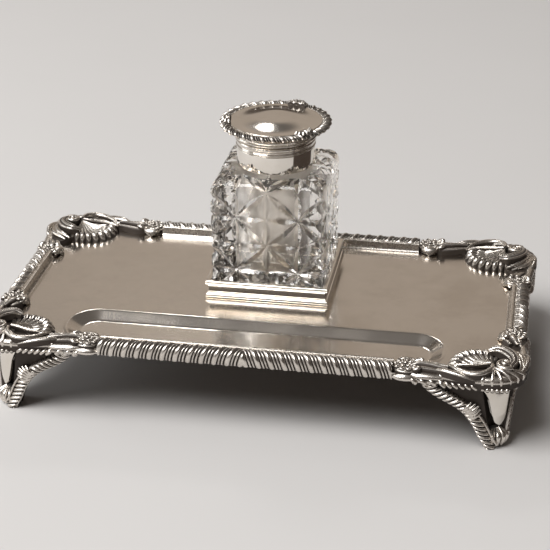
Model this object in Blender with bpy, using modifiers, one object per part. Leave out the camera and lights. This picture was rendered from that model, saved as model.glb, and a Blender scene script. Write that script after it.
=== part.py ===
# Table inkstand: a four-footed rectangular tray with a pen trough, a square gallery, and a cut-glass
# inkwell that lifts out of it. The inkwell has a turned collar and a round lid on a rear hinge.
# +Z is up, the pen trough faces -Y, and the origin is on the table under the tray's centre.

import bpy
import bmesh
from math import cos, pi, radians, sin
from mathutils import Matrix, Vector

mm = 0.001
gap = 0.3 * mm                    # clearance between neighbouring pieces

# Tray sheet and its border
tray_length = 208.0 * mm          # outer edge to outer edge of the straight borders
tray_depth = 115.0 * mm
field_height = 30.5 * mm          # plain top surface above the table
sheet_thickness = 1.0 * mm
sheet_corner_radius = 9.0 * mm
border_width = 8.6 * mm
border_rise = 4.4 * mm            # above the field
border_drop = 2.5 * mm            # lip below the field
lip_thickness = 2.2 * mm
fillet_width = 1.4 * mm           # bright flat strip beside the gadroon
cove_width = 1.3 * mm             # hollow between that strip and the field
fillet_step = 1.0 * mm            # strip's top below the gadroon's

# Pen trough
trough_end_margin = 30.5 * mm     # tray's end to the trough's end
trough_width = 25.2 * mm
trough_depth = 4.5 * mm
trough_border_margin = 0.4 * mm   # front border's inner edge to the trough
trough_corner = 11.5 * mm
trough_floor_corner = 3.6 * mm

# Florets, leaves and corner shells
floret_from_end = 43.5 * mm       # on the long sides
floret_from_side = 34.0 * mm      # on the short sides
floret_radius = 4.5 * mm
floret_rise = 5.4 * mm
corner_overhang = 1.8 * mm        # castings stand out beyond the straight borders
corner_outer_radius = 9.0 * mm
shell_radius = 16.5 * mm
shell_root_x = 12.0 * mm          # hub of the shell's fan, in from the ends
shell_root_y = 10.5 * mm          # and in from the front and back
shell_rise = 4.8 * mm
shell_lobes = 9
shell_lobe_depth = 0.7 * mm

# Bracket feet
foot_reach_x = 40.0 * mm          # flange length under the border, at the top
foot_reach_y = 30.0 * mm
foot_toe_reach = 6.8 * mm         # flange length at the toe
foot_flare = 2.6                  # how quickly the flanges' concave edges sweep out
foot_inset = 4.8 * mm             # outer faces, in from the border's outer edge
foot_lean = 2.2 * mm              # toe, in from the top
foot_thickness = 2.4 * mm
foot_shield_width = 8.5 * mm      # chamfer across the corner, along each side, at the top
foot_shield_toe_width = 3.0 * mm

# Gallery around the inkwell
gallery_back_margin = 14.4 * mm   # tray's back edge to the gallery
gallery_side = 50.0 * mm
gallery_height = 7.1 * mm
gallery_thickness = 2.0 * mm
reed_height = 1.7 * mm
gallery_hollow = 0.8 * mm

# Cut-glass bottle
body_height = 49.8 * mm
body_edge_radius = 2.0 * mm
shoulder_radius = 5.5 * mm
neck_height = 9.6 * mm            # above the shoulder
neck_wall = 3.9 * mm
glass_wall = 7.7 * mm
glass_floor = 9.0 * mm
glass_shoulder = 6.0 * mm         # glass over the ink cavity

# Collar
collar_radius = 15.6 * mm
collar_sheet = 0.7 * mm
plaster_thickness = 0.9 * mm      # between the collar and the neck
collar_lift = 1.0 * mm            # band starts above the glass shoulder
band_height = 6.9 * mm
moulding_height = 4.0 * mm
moulding_bulge = 0.5 * mm
moulding_width = 1.7 * mm         # mouth to the collar's outer face

# Lid
bezel_height = 4.6 * mm
bezel_bulge = 1.2 * mm
plate_thickness = 1.0 * mm
plate_overhang = 2.8 * mm         # beyond the collar
dome_rise = 1.7 * mm
rim_width = 4.0 * mm
rim_rise = 0.7 * mm               # above the plate's edge
rim_thickness = 2.6 * mm
lid_shell_radius = 4.4 * mm
lid_shell_reach = 1.3 * mm        # beyond the rim
lid_shell_rise = 0.9 * mm
lid_shell_angles = (-45.0, 190.0, 72.0)
liner_thickness = 0.7 * mm
liner_clearance = 0.5 * mm
liner_drop = 1.7 * mm             # below the joint between lid and collar

# Hinge
knuckle_radius = 1.2 * mm
knuckle_bore = 0.75 * mm
pin_radius = 0.45 * mm
hinge_width = 12.0 * mm
middle_knuckle = 4.0 * mm
hinge_clearance = 0.5 * mm        # knuckles to the widest turned moulding

# Derived places
half_length = tray_length / 2
half_depth = tray_depth / 2
sheet_inset = lip_thickness + gap
trough_length = tray_length - 2 * trough_end_margin
trough_y = -half_depth + border_width + trough_border_margin + trough_width / 2
trough_corner_radius = min(trough_corner, 0.48 * trough_width)
trough_floor_radius = min(trough_floor_corner, 0.9 * trough_depth, 0.8 * trough_corner_radius)
inkwell_y = half_depth - gallery_back_margin - gallery_side / 2
floret_x = half_length - floret_from_end
floret_y = half_depth - floret_from_side
shell_start_x = shell_root_x + shell_radius + gap     # leaf ends here, from the tray's corner
shell_start_y = shell_root_y + shell_radius + gap
bottle_side = gallery_side - 2 * (gallery_thickness + gap)
cavity_radius = bottle_side / 2 - glass_wall
neck_radius = collar_radius - collar_sheet - plaster_thickness - 2 * gap
bore_radius = neck_radius - neck_wall
mouth_radius = collar_radius - moulding_width
plate_radius = collar_radius + plate_overhang
rim_radius = plate_radius + rim_width
bottle_base = field_height + gap
shoulder_top = bottle_base + body_height
neck_top = shoulder_top + neck_height
band_bottom = shoulder_top + collar_lift
band_top = band_bottom + band_height
moulding_bottom = band_top + gap
moulding_top = moulding_bottom + moulding_height
bezel_bottom = moulding_top + gap
bezel_top = bezel_bottom + bezel_height
plate_bottom = bezel_top + gap
plate_top = plate_bottom + plate_thickness
hinge_y = inkwell_y + collar_radius + bezel_bulge + hinge_clearance + knuckle_radius
hinge_z = moulding_top + gap / 2

for old in list(bpy.data.objects):
    bpy.data.objects.remove(old, do_unlink=True)

parts = bpy.data.collections.new("inkstand")
bpy.context.scene.collection.children.link(parts)
cutters = bpy.data.collections.new("cutters")
bpy.context.scene.collection.children.link(cutters)


# ---- materials ----

def finish(name, colour, roughness, metallic, transmission=0.0):
    material = bpy.data.materials.new(name)
    material.use_nodes = True
    shader = material.node_tree.nodes["Principled BSDF"]
    shader.inputs["Base Color"].default_value = (*colour, 1.0)
    shader.inputs["Roughness"].default_value = roughness
    shader.inputs["Metallic"].default_value = metallic
    shader.inputs["Transmission Weight"].default_value = transmission
    material.diffuse_color = (*colour, 1.0)
    return material


def polished_silver(name):
    return finish(name + "_silver", (0.72, 0.67, 0.61), 0.14, 1.0)


def cast_silver(name):
    return finish(name + "_cast_silver", (0.56, 0.53, 0.49), 0.26, 1.0)


def cut_glass(name):
    return finish(name + "_glass", (0.92, 0.90, 0.88), 0.02, 0.0, 0.9)


def white_plaster(name):
    return finish(name + "_plaster", (0.80, 0.78, 0.72), 0.9, 0.0)


def hard_wire(name):
    return finish(name + "_wire", (0.60, 0.58, 0.55), 0.3, 1.0)


# ---- building helpers ----

def add_object(name, mesh, material, collection=parts):
    piece = bpy.data.objects.new(name, mesh)
    collection.objects.link(piece)
    if material is not None:
        mesh.materials.append(material)
    return piece


def add_cutter(name, mesh):
    piece = add_object(name, mesh, None, cutters)
    piece.hide_render = True
    piece.display_type = "WIRE"
    return piece


def combine(target, tool, operation):
    modifier = target.modifiers.new(tool.name, "BOOLEAN")
    modifier.operation = operation
    modifier.object = tool


def finished_mesh(name, bm):
    mesh = bpy.data.meshes.new(name)
    bm.to_mesh(mesh)
    bm.free()
    return mesh


def arc(centre, radius, start, end, steps):
    points = []
    for i in range(steps + 1):
        angle = radians(start + (end - start) * i / steps)
        points.append((centre[0] + radius * cos(angle), centre[1] + radius * sin(angle)))
    return points


def outline_mesh(name, outline, low, high):
    # A flat outline, extruded from height low to height high.
    curve = bpy.data.curves.new(name, "CURVE")
    curve.dimensions = "2D"
    curve.fill_mode = "BOTH"
    curve.extrude = (high - low) / 2
    spline = curve.splines.new("POLY")
    spline.points.add(len(outline) - 1)
    spline.use_cyclic_u = True
    for point, (x, y) in zip(spline.points, outline):
        point.co = (x, y, 0.0, 1.0)
    drawn = bpy.data.objects.new(name, curve)
    parts.objects.link(drawn)
    evaluated = drawn.evaluated_get(bpy.context.evaluated_depsgraph_get())
    mesh = bpy.data.meshes.new_from_object(evaluated)
    bpy.data.objects.remove(drawn)
    mesh.transform(Matrix.Translation((0.0, 0.0, (low + high) / 2)))
    bm = bmesh.new()
    bm.from_mesh(mesh)
    bmesh.ops.remove_doubles(bm, verts=bm.verts, dist=1e-6)
    bmesh.ops.recalc_face_normals(bm, faces=bm.faces)
    bm.to_mesh(mesh)
    bm.free()
    return mesh


def rounded_block(name, size, low, corner, corner_steps, edge=0.0, edge_steps=1):
    # A box standing on height low, with rounded upright edges and rounded edges round its floor.
    bm = bmesh.new()
    bmesh.ops.create_cube(bm, size=1.0)
    bmesh.ops.scale(bm, vec=Vector(size), verts=bm.verts)
    bmesh.ops.translate(bm, vec=(0.0, 0.0, low + size[2] / 2), verts=bm.verts)
    middle = low + size[2] / 2
    upright = [e for e in bm.edges if (e.verts[0].co.z > middle) != (e.verts[1].co.z > middle)]
    bmesh.ops.bevel(bm, geom=upright, offset=corner, segments=corner_steps, affect="EDGES", profile=0.5)
    if edge > 0.0:
        rim = [e for e in bm.edges if all(v.co.z < middle for v in e.verts)]
        bmesh.ops.bevel(bm, geom=rim, offset=edge, segments=edge_steps, affect="EDGES", profile=0.5)
    return finished_mesh(name, bm)


def cylinder_mesh(name, radius, low, high, sides):
    bm = bmesh.new()
    bmesh.ops.create_cone(bm, cap_ends=True, segments=sides, radius1=radius, radius2=radius, depth=high - low)
    bmesh.ops.translate(bm, vec=(0.0, 0.0, (low + high) / 2), verts=bm.verts)
    return finished_mesh(name, bm)


def turned(name, profile, material, steps=40):
    # A closed profile of (radius, height) points, down its outer side first, swept round Z.
    mesh = bpy.data.meshes.new(name)
    corners = [(radius, 0.0, height) for radius, height in profile]
    closing = [] if profile[0][0] == 0.0 else [(len(corners) - 1, 0)]
    edges = [(i, i + 1) for i in range(len(corners) - 1)]
    mesh.from_pydata(corners, edges + closing, [])
    piece = add_object(name, mesh, material)
    screw = piece.modifiers.new("turn", "SCREW")
    screw.steps = steps
    screw.render_steps = steps
    screw.use_merge_vertices = True
    screw.merge_threshold = 1e-6
    screw.use_smooth_shade = True
    return piece


def stacked(name, rings):
    # A solid through outlines of equal point counts, one above the other, closed by the first and last.
    bm = bmesh.new()
    loops = [[bm.verts.new(point) for point in ring] for ring in rings]
    count = len(loops[0])
    for above, below in zip(loops, loops[1:]):
        for i in range(count):
            j = (i + 1) % count
            bm.faces.new((above[i], above[j], below[j], below[i]))
    bm.faces.new(loops[0])
    bm.faces.new(loops[-1])
    bmesh.ops.recalc_face_normals(bm, faces=bm.faces)
    return finished_mesh(name, bm)


def put_in_corner(mesh, end, side):
    # Meshes for the corners are drawn with x and y measured inwards from the outer corner of the tray.
    mesh.transform(Matrix.Diagonal((-end, -side, 1.0, 1.0)))
    if end * side < 0:
        mesh.flip_normals()
    mesh.transform(Matrix.Translation((end * half_length, side * half_depth, 0.0)))


# ---- tray ----

def tray_plate():
    size = (tray_length - 2 * sheet_inset, tray_depth - 2 * sheet_inset, sheet_thickness)
    mesh = rounded_block("tray_plate", size, field_height - sheet_thickness, sheet_corner_radius, 6)
    plate = add_object("tray_plate", mesh, polished_silver("tray_plate"))
    wall = sheet_thickness
    outer_size = (trough_length + 2 * wall, trough_width + 2 * wall, trough_depth + wall / 2)
    outer = rounded_block("trough_outside", outer_size, field_height - trough_depth - wall,
                          trough_corner_radius + wall, 8, trough_floor_radius + wall, 4)
    inner_size = (trough_length, trough_width, trough_depth + wall)
    inner = rounded_block("trough_inside", inner_size, field_height - trough_depth,
                          trough_corner_radius, 8, trough_floor_radius, 4)
    for body, operation in ((outer, "UNION"), (inner, "DIFFERENCE")):
        body.transform(Matrix.Translation((0.0, trough_y, 0.0)))
        combine(plate, add_cutter(body.name, body), operation)
    return plate


def border_profile():
    # (distance in from the outer edge, height), clockwise from the foot of the lip.
    z = field_height
    gadroon = border_width - fillet_width - cove_width
    strip = border_rise - fillet_step
    return [
        (0.6 * mm, z - border_drop),
        (0.0, z - border_drop / 2),
        (0.0, z + 0.36 * border_rise),
        (0.16 * gadroon, z + 0.78 * border_rise),
        (0.45 * gadroon, z + border_rise),
        (0.75 * gadroon, z + 0.95 * border_rise),
        (gadroon - 0.3 * mm, z + 0.7 * border_rise),
        (gadroon, z + strip),
        (gadroon + fillet_width, z + strip),
        (gadroon + fillet_width + 0.3 * mm, z + strip / 2),
        (border_width, z + gap + 0.2 * mm),
        (border_width, z + gap),
        (lip_thickness, z + gap),
        (lip_thickness, z - border_drop),
    ]


def border_length(name, start, end):
    # The border section swept along +X from start to end, its outer edge at y = 0.
    mesh = outline_mesh(name, border_profile(), start, end)
    mesh.transform(Matrix(((0, 0, 1, 0), (1, 0, 0, 0), (0, 1, 0, 0), (0, 0, 0, 1))))
    return mesh


def side_frame(direction):
    # Turns a border drawn along +X at the front edge onto one of the tray's four edges.
    turns = {"front": 0, "right": 1, "back": 2, "left": 3}[direction]
    reach = half_depth if turns % 2 == 0 else half_length
    return Matrix.Rotation(turns * pi / 2, 4, "Z") @ Matrix.Translation((0.0, -reach, 0.0))


def gadroon_border(direction):
    name = "gadroon_" + direction
    reach = floret_x if direction in ("front", "back") else floret_y
    half = reach - floret_radius - gap
    mesh = border_length(name, -half, half)
    mesh.transform(side_frame(direction))
    return add_object(name, mesh, cast_silver(name))


def floret_leaf(direction, hand):
    # Flower clasp over the border, and the acanthus leaf from it to the corner shell.
    side = "right" if hand > 0 else "left"
    name = "floret_leaf_" + direction + "_" + side
    long_side = direction in ("front", "back")
    middle = floret_x if long_side else floret_y
    reach = half_length - shell_start_x if long_side else half_depth - shell_start_y
    ends = sorted((hand * (middle - floret_radius), hand * reach))
    mesh = border_length(name, ends[0], ends[1])
    mesh.transform(side_frame(direction))
    piece = add_object(name, mesh, cast_silver(name))
    flower = cylinder_mesh(name + "_flower", floret_radius - gap, field_height + gap + 0.1 * mm,
                           field_height + floret_rise, 16)
    flower.transform(Matrix.Translation((hand * middle, floret_radius, 0.0)))
    flower.transform(side_frame(direction))
    combine(piece, add_cutter(flower.name, flower), "UNION")
    return piece


def shell_outline():
    # Fan with a scalloped edge towards the field, closed by the rounded outer corner.
    steps_per_lobe = 4
    steps = shell_lobes * steps_per_lobe
    points = []
    for i in range(steps + 1):
        angle = radians(-8.0 + 106.0 * i / steps)
        radius = shell_radius - shell_lobe_depth * abs(cos(pi * shell_lobes * i / steps))
        points.append((shell_root_x + radius * cos(angle), shell_root_y + radius * sin(angle)))
    rim = -corner_overhang
    bend = corner_outer_radius + rim
    points.append((rim, shell_root_y + shell_radius - shell_lobe_depth))
    points += arc((bend, bend), corner_outer_radius, 180, 270, 6)
    points.append((shell_root_x + shell_radius - shell_lobe_depth, rim))
    return points


def corner_lip_outline():
    # Narrow skirt that wraps the sheet's rounded corner.
    outer = 0.4 * mm - corner_overhang
    outer_bend = outer + corner_outer_radius
    inner_bend = sheet_inset + sheet_corner_radius
    inner_radius = inner_bend - lip_thickness
    end_x = shell_root_x + shell_radius - 2.0 * mm
    end_y = shell_root_y + shell_radius - 2.0 * mm
    points = [(outer, end_y)]
    points += arc((outer_bend, outer_bend), corner_outer_radius, 180, 270, 6)
    points += [(end_x, outer), (end_x, lip_thickness)]
    points += arc((inner_bend, inner_bend), inner_radius, 270, 180, 6)
    points.append((lip_thickness, end_y))
    return points


def corner_shell(name, end, side):
    low = field_height + gap
    mesh = outline_mesh(name, shell_outline(), low, field_height + shell_rise)
    put_in_corner(mesh, end, side)
    lip = outline_mesh(name + "_lip", corner_lip_outline(), field_height - border_drop, low + 1.0 * mm)
    put_in_corner(lip, end, side)
    piece = add_object(name, mesh, cast_silver(name))
    combine(piece, add_cutter(lip.name, lip), "UNION")
    return piece


def foot_section(drop):
    # Plan of the foot at a depth drop below its top (0 to 1), x and y inwards from the tray's corner.
    flare = (1.0 - drop) ** foot_flare
    reach_x = foot_toe_reach + (foot_reach_x - foot_toe_reach) * flare
    reach_y = foot_toe_reach + (foot_reach_y - foot_toe_reach) * flare
    shield = foot_shield_width + (foot_shield_toe_width - foot_shield_width) * drop
    face = foot_inset + foot_lean * drop
    back = face + foot_thickness
    fold = shield - 0.41 * foot_thickness
    return [
        (face + reach_x, face), (face + shield, face), (face, face + shield), (face, face + reach_y),
        (back, face + reach_y), (back, back + fold), (back + fold, back), (face + reach_x, back),
    ]


def foot(name, end, side):
    # Cast bracket foot: two concave flanges either side of a plain shield across the corner.
    top = field_height - sheet_thickness - gap
    levels = 12
    drops = [i / levels for i in range(levels + 1)]
    mesh = stacked(name, [[(x, y, top * (1.0 - drop)) for x, y in foot_section(drop)] for drop in drops])
    put_in_corner(mesh, end, side)
    return add_object(name, mesh, cast_silver(name))


# ---- gallery ----

def gallery_profile():
    # (distance in from the outer face, height): a reed, a hollow and a second reed.
    low = field_height + gap
    high = low + gallery_height
    neck_low = low + reed_height
    neck_high = high - reed_height
    middle = (neck_low + neck_high) / 2
    return [
        (0.0, low), (0.0, neck_low), (0.6 * gallery_hollow, neck_low + 0.2 * mm),
        (gallery_hollow, middle), (0.6 * gallery_hollow, neck_high - 0.2 * mm), (0.0, neck_high),
        (0.0, high - 0.5 * mm), (0.5 * mm, high), (gallery_thickness, high), (gallery_thickness, low),
    ]


def gallery_side_moulding(direction):
    name = "gallery_" + direction
    half = gallery_side / 2
    mesh = outline_mesh(name, gallery_profile(), -half, half)
    mesh.transform(Matrix(((0, 0, 1, 0), (1, 0, 0, 0), (0, 1, 0, 0), (0, 0, 0, 1))))
    bm = bmesh.new()
    bm.from_mesh(mesh)
    for hand in (-1, 1):
        # Mitre: a plane at 45 degrees through the outer corner, set back by half the gap.
        corner = Vector((hand * (half - 0.7 * gap), 0.0, 0.0))
        whole = bm.verts[:] + bm.edges[:] + bm.faces[:]
        cut = bmesh.ops.bisect_plane(bm, geom=whole, plane_co=corner, plane_no=(hand, 1.0, 0.0),
                                     clear_outer=True)
        edges = [e for e in cut["geom_cut"] if isinstance(e, bmesh.types.BMEdge)]
        bmesh.ops.edgenet_fill(bm, edges=edges)
    bmesh.ops.recalc_face_normals(bm, faces=bm.faces)
    bm.to_mesh(mesh)
    bm.free()
    turns = {"front": 0, "right": 1, "back": 2, "left": 3}[direction]
    mesh.transform(Matrix.Translation((0.0, -half, 0.0)))
    mesh.transform(Matrix.Rotation(turns * pi / 2, 4, "Z"))
    mesh.transform(Matrix.Translation((0.0, inkwell_y, 0.0)))
    return add_object(name, mesh, polished_silver(name))


# ---- inkwell: bottle and collar ----

def bottle_outline(inset, height):
    # Square with rounded corners, set in from the bottle's sides.
    middle = bottle_side / 2 - inset - body_edge_radius
    points = []
    for quarter, (across, along) in enumerate(((1, 1), (-1, 1), (-1, -1), (1, -1))):
        points += arc((across * middle, along * middle), body_edge_radius, 90 * quarter, 90 * quarter + 90, 3)
    return [(x, y, height) for x, y in points]


def shouldered_block():
    # Square block whose top is rounded into a shoulder.
    steps = 5
    rings = [bottle_outline(0.0, 0.0)]
    for i in range(steps + 1):
        angle = radians(90 * i / steps)
        rings.append(bottle_outline(shoulder_radius * (1.0 - cos(angle)),
                                    body_height - shoulder_radius * (1.0 - sin(angle))))
    return stacked("glass_bottle", rings)


def glass_bottle():
    bottle = add_object("glass_bottle", shouldered_block(), cut_glass("glass_bottle"))
    neck = cylinder_mesh("neck_outside", neck_radius, body_height - 1.0 * mm, body_height + neck_height, 40)
    combine(bottle, add_cutter(neck.name, neck), "UNION")
    cavity = cylinder_mesh("ink_cavity", cavity_radius, glass_floor, body_height - glass_shoulder, 40)
    combine(bottle, add_cutter(cavity.name, cavity), "DIFFERENCE")
    bore = cylinder_mesh("neck_bore", bore_radius, body_height - glass_shoulder - 2.0 * mm,
                         body_height + neck_height + 2.0 * mm, 40)
    combine(bottle, add_cutter(bore.name, bore), "DIFFERENCE")
    return bottle


def neck_plaster():
    inner = neck_radius + gap
    outer = collar_radius - collar_sheet - gap
    low = band_bottom + 0.5 * mm - bottle_base
    high = band_top - gap - bottle_base
    return turned("neck_plaster", [(outer, high), (outer, low), (inner, low), (inner, high)],
                  white_plaster("neck_plaster"))


def collar_band():
    inner = collar_radius - collar_sheet
    low = band_bottom - bottle_base
    high = band_top - bottle_base
    return turned("collar_band", [(collar_radius, high), (collar_radius, low), (inner, low), (inner, high)],
                  polished_silver("collar_band"))


def collar_moulding():
    low = moulding_bottom - bottle_base
    high = moulding_top - bottle_base
    middle = (low + high) / 2
    wide = collar_radius + moulding_bulge
    profile = [
        (collar_radius - 0.3 * mm, high), (wide - 0.2 * mm, high - 0.5 * mm), (wide, middle + 0.5 * mm),
        (wide - 0.2 * mm, middle - 0.4 * mm), (collar_radius - 0.4 * mm, middle - 0.8 * mm),
        (collar_radius, low + 0.5 * mm), (collar_radius, low), (mouth_radius, low), (mouth_radius, high),
    ]
    return turned("collar_moulding", profile, polished_silver("collar_moulding"))


# ---- lid ----

def lid_bezel():
    low = bezel_bottom - hinge_z
    high = bezel_top - hinge_z
    wide = collar_radius + bezel_bulge
    profile = [
        (collar_radius + 0.6 * mm, high), (collar_radius, high - 0.5 * mm),
        (wide - 0.5 * mm, high - 1.3 * mm), (wide, high - 2.0 * mm), (wide, low + 1.2 * mm),
        (wide - 0.5 * mm, low + 0.5 * mm), (collar_radius - 0.1 * mm, low), (mouth_radius, low),
        (mouth_radius, high),
    ]
    return turned("lid_bezel", profile, polished_silver("lid_bezel"))


def lid_plate():
    low = plate_bottom - hinge_z
    edge = plate_top - hinge_z
    crown = edge + dome_rise
    over = [(0.0, crown), (0.25 * plate_radius, crown - 0.05 * dome_rise),
            (0.5 * plate_radius, crown - 0.35 * dome_rise), (0.72 * plate_radius, crown - 0.8 * dome_rise),
            (0.85 * plate_radius, edge), (plate_radius, edge)]
    return turned("lid_plate", over + [(plate_radius, low), (0.0, low)], polished_silver("lid_plate"))


def lid_rim():
    top = plate_top + rim_rise - hinge_z
    inner = plate_radius + gap
    width = rim_radius - inner
    low = top - rim_thickness
    profile = [
        (inner + 0.5 * width, top), (inner + 0.85 * width, top - 0.2 * rim_thickness),
        (rim_radius, top - 0.45 * rim_thickness), (rim_radius, top - 0.7 * rim_thickness),
        (inner + 0.8 * width, low), (inner, low), (inner, top - 0.35 * rim_thickness),
    ]
    return turned("lid_rim", profile, cast_silver("lid_rim"), 48)


def lid_shell(name, angle):
    low = plate_top + rim_rise + gap - hinge_z
    fan = [(0.0, -0.55 * lid_shell_radius)] + arc((0.0, 0.0), lid_shell_radius, -60, 60, 8)
    fan += [(0.0, 0.55 * lid_shell_radius)]
    mesh = outline_mesh(name, fan, low, low + lid_shell_rise)
    mesh.transform(Matrix.Translation((rim_radius + lid_shell_reach - lid_shell_radius, 0.0, 0.0)))
    mesh.transform(Matrix.Rotation(radians(angle), 4, "Z"))
    return add_object(name, mesh, cast_silver(name))


def lid_liner():
    outer = mouth_radius - liner_clearance
    inner = outer - liner_thickness
    low = bezel_bottom - liner_drop - hinge_z
    high = plate_bottom - gap - hinge_z
    return turned("lid_liner", [(outer, high), (outer, low), (inner, low), (inner, high)],
                  polished_silver("lid_liner"))


# ---- hinge ----

def knuckle(name, start, end, leaf_up, leaf_y, leaf_length):
    # Bored barrel along X about the origin, with a short leaf towards the turned moulding.
    barrel = cylinder_mesh(name, knuckle_radius, start, end, 20)
    barrel.transform(Matrix.Rotation(pi / 2, 4, "Y"))
    piece = add_object(name, barrel, polished_silver(name))
    thickness = knuckle_radius - gap
    bm = bmesh.new()
    bmesh.ops.create_cube(bm, size=1.0)
    bmesh.ops.scale(bm, vec=(end - start - 0.2 * mm, leaf_length, thickness), verts=bm.verts)
    rise = (gap + thickness / 2) * (1 if leaf_up else -1)
    bmesh.ops.translate(bm, vec=((start + end) / 2, leaf_y + leaf_length / 2, rise), verts=bm.verts)
    leaf = add_cutter(name + "_leaf", finished_mesh(name + "_leaf", bm))
    combine(piece, leaf, "UNION")
    bore = cylinder_mesh(name + "_bore", knuckle_bore, start - 1.0 * mm, end + 1.0 * mm, 20)
    bore.transform(Matrix.Rotation(pi / 2, 4, "Y"))
    drill = add_cutter(name + "_bore", bore)
    combine(piece, drill, "DIFFERENCE")
    return [piece, leaf, drill]


def hinge_pin():
    mesh = cylinder_mesh("hinge_pin", pin_radius, -hinge_width / 2 - 0.3 * mm, hinge_width / 2 + 0.3 * mm, 16)
    mesh.transform(Matrix.Rotation(pi / 2, 4, "Y"))
    return add_object("hinge_pin", mesh, hard_wire("hinge_pin"))


# ---- assembly ----

def axis_empty(name, place, parent=None):
    empty = bpy.data.objects.new(name, None)
    parts.objects.link(empty)
    empty.location = place
    empty.parent = parent
    return empty


def hang(pieces, parent, shift=(0.0, 0.0, 0.0)):
    for piece in pieces:
        piece.parent = parent
        piece.location = shift


tray_plate()
for edge in ("front", "right", "back", "left"):
    gadroon_border(edge)
    floret_leaf(edge, -1)
    floret_leaf(edge, 1)
    gallery_side_moulding(edge)
for end, end_name in ((-1, "left"), (1, "right")):
    for side, side_name in ((-1, "front"), (1, "back")):
        corner_shell("corner_shell_" + side_name + "_" + end_name, end, side)
        foot("foot_" + side_name + "_" + end_name, end, side)

bottle_axis = axis_empty("bottle_lift_axis", (0.0, inkwell_y, bottle_base))
glass = glass_bottle()
glass_tools = [c for c in cutters.objects if c.name in ("neck_outside", "ink_cavity", "neck_bore")]
hang([glass, neck_plaster(), collar_band(), collar_moulding()] + glass_tools, bottle_axis)

hinge_axis = axis_empty("lid_hinge_axis", (0.0, hinge_y - inkwell_y, hinge_z - bottle_base), bottle_axis)
turning_centre = (0.0, inkwell_y - hinge_y, 0.0)
lid_pieces = [lid_bezel(), lid_plate(), lid_rim(), lid_liner()]
for i, angle in enumerate(lid_shell_angles):
    lid_pieces.append(lid_shell("lid_shell_" + str(i + 1), angle))
hang(lid_pieces, hinge_axis, turning_centre)

collar_leaf = collar_radius + moulding_bulge + gap - (hinge_y - inkwell_y)
lid_leaf = collar_radius + bezel_bulge + gap - (hinge_y - inkwell_y)
middle = middle_knuckle / 2
hang(knuckle("hinge_knuckle_left", -hinge_width / 2, -middle - gap, False, collar_leaf, -collar_leaf),
     hinge_axis)
hang(knuckle("hinge_knuckle_right", middle + gap, hinge_width / 2, False, collar_leaf, -collar_leaf),
     hinge_axis)
hang(knuckle("lid_knuckle", -middle, middle, True, lid_leaf, -lid_leaf), hinge_axis)
hang([hinge_pin()], hinge_axis)
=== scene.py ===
# Silver inkstand with a cut-glass inkwell. Lengths are in millimetres until a mesh is made;
# the camera, floor, card and lamps are in metres.

import math
import bpy
import bmesh
import numpy as np
from mathutils import Matrix, Vector


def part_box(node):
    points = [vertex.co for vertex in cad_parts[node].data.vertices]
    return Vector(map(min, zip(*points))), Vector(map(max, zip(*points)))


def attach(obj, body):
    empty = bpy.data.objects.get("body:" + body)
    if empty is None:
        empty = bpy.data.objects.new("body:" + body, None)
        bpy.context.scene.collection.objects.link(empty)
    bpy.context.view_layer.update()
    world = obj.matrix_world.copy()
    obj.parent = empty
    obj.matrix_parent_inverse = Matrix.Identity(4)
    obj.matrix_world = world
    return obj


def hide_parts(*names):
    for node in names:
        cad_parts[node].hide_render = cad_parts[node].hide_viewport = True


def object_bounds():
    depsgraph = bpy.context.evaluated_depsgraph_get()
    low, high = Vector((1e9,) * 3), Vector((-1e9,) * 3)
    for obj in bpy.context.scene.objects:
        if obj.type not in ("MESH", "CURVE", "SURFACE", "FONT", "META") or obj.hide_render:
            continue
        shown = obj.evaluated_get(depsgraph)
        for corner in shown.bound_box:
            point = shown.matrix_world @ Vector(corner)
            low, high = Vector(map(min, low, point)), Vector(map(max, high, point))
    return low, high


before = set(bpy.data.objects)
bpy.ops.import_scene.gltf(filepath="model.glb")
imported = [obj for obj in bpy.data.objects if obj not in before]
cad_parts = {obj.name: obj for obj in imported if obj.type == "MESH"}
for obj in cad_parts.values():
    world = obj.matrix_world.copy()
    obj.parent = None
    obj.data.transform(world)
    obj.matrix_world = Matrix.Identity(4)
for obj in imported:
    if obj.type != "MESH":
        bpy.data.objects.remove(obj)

sizeAtLoad = [list(corner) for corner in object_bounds()]
mm = 0.001
tau = 2 * math.pi
print("frame loaded:", len(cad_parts), "nodes")


def boxOf(node):
    low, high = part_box(node)
    return np.array(low) / mm, np.array(high) / mm


# Places that the solids give
trayHigh = boxOf("tray_plate")[1]
fieldZ = trayHigh[2]
halfDepth = -boxOf("gadroon_front")[0][1]
halfLength = boxOf("gadroon_right")[1][0]
borderTop = boxOf("gadroon_front")[1][2]
borderBottom = boxOf("gadroon_front")[0][2]
glassLow, glassHigh = boxOf("glass_bottle")
wellY = (glassLow[1] + glassHigh[1]) / 2
bandLow, bandHigh = boxOf("collar_band")
mouldingLow, mouldingHigh = boxOf("collar_moulding")
bezelLow, bezelHigh = boxOf("lid_bezel")
plateLow, plateHigh = boxOf("lid_plate")
rimLow, rimHigh = boxOf("lid_rim")
galleryLow, galleryHigh = boxOf("gallery_front")


# A shader socket that adds Math nodes as it is used in an expression

class Wire:
    def __init__(self, sheet, socket):
        self.sheet = sheet
        self.socket = socket

    def maths(self, operation, *values):
        node = self.sheet.node("ShaderNodeMath", {"operation": operation}, dict(enumerate(values)))
        return self.sheet.out(node)

    def __add__(self, other):
        return self.maths("ADD", self, other)

    def __sub__(self, other):
        return self.maths("SUBTRACT", self, other)

    def __rsub__(self, other):
        return self.maths("SUBTRACT", other, self)

    def __mul__(self, other):
        return self.maths("MULTIPLY", self, other)

    __radd__ = __add__
    __rmul__ = __mul__

    def step(self, low, high):  # smooth 0 to 1 between low and high
        node = self.sheet.node("ShaderNodeMapRange", {"interpolation_type": "SMOOTHSTEP"},
                               {"Value": self, "From Min": low, "From Max": high})
        return self.sheet.out(node)


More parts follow.
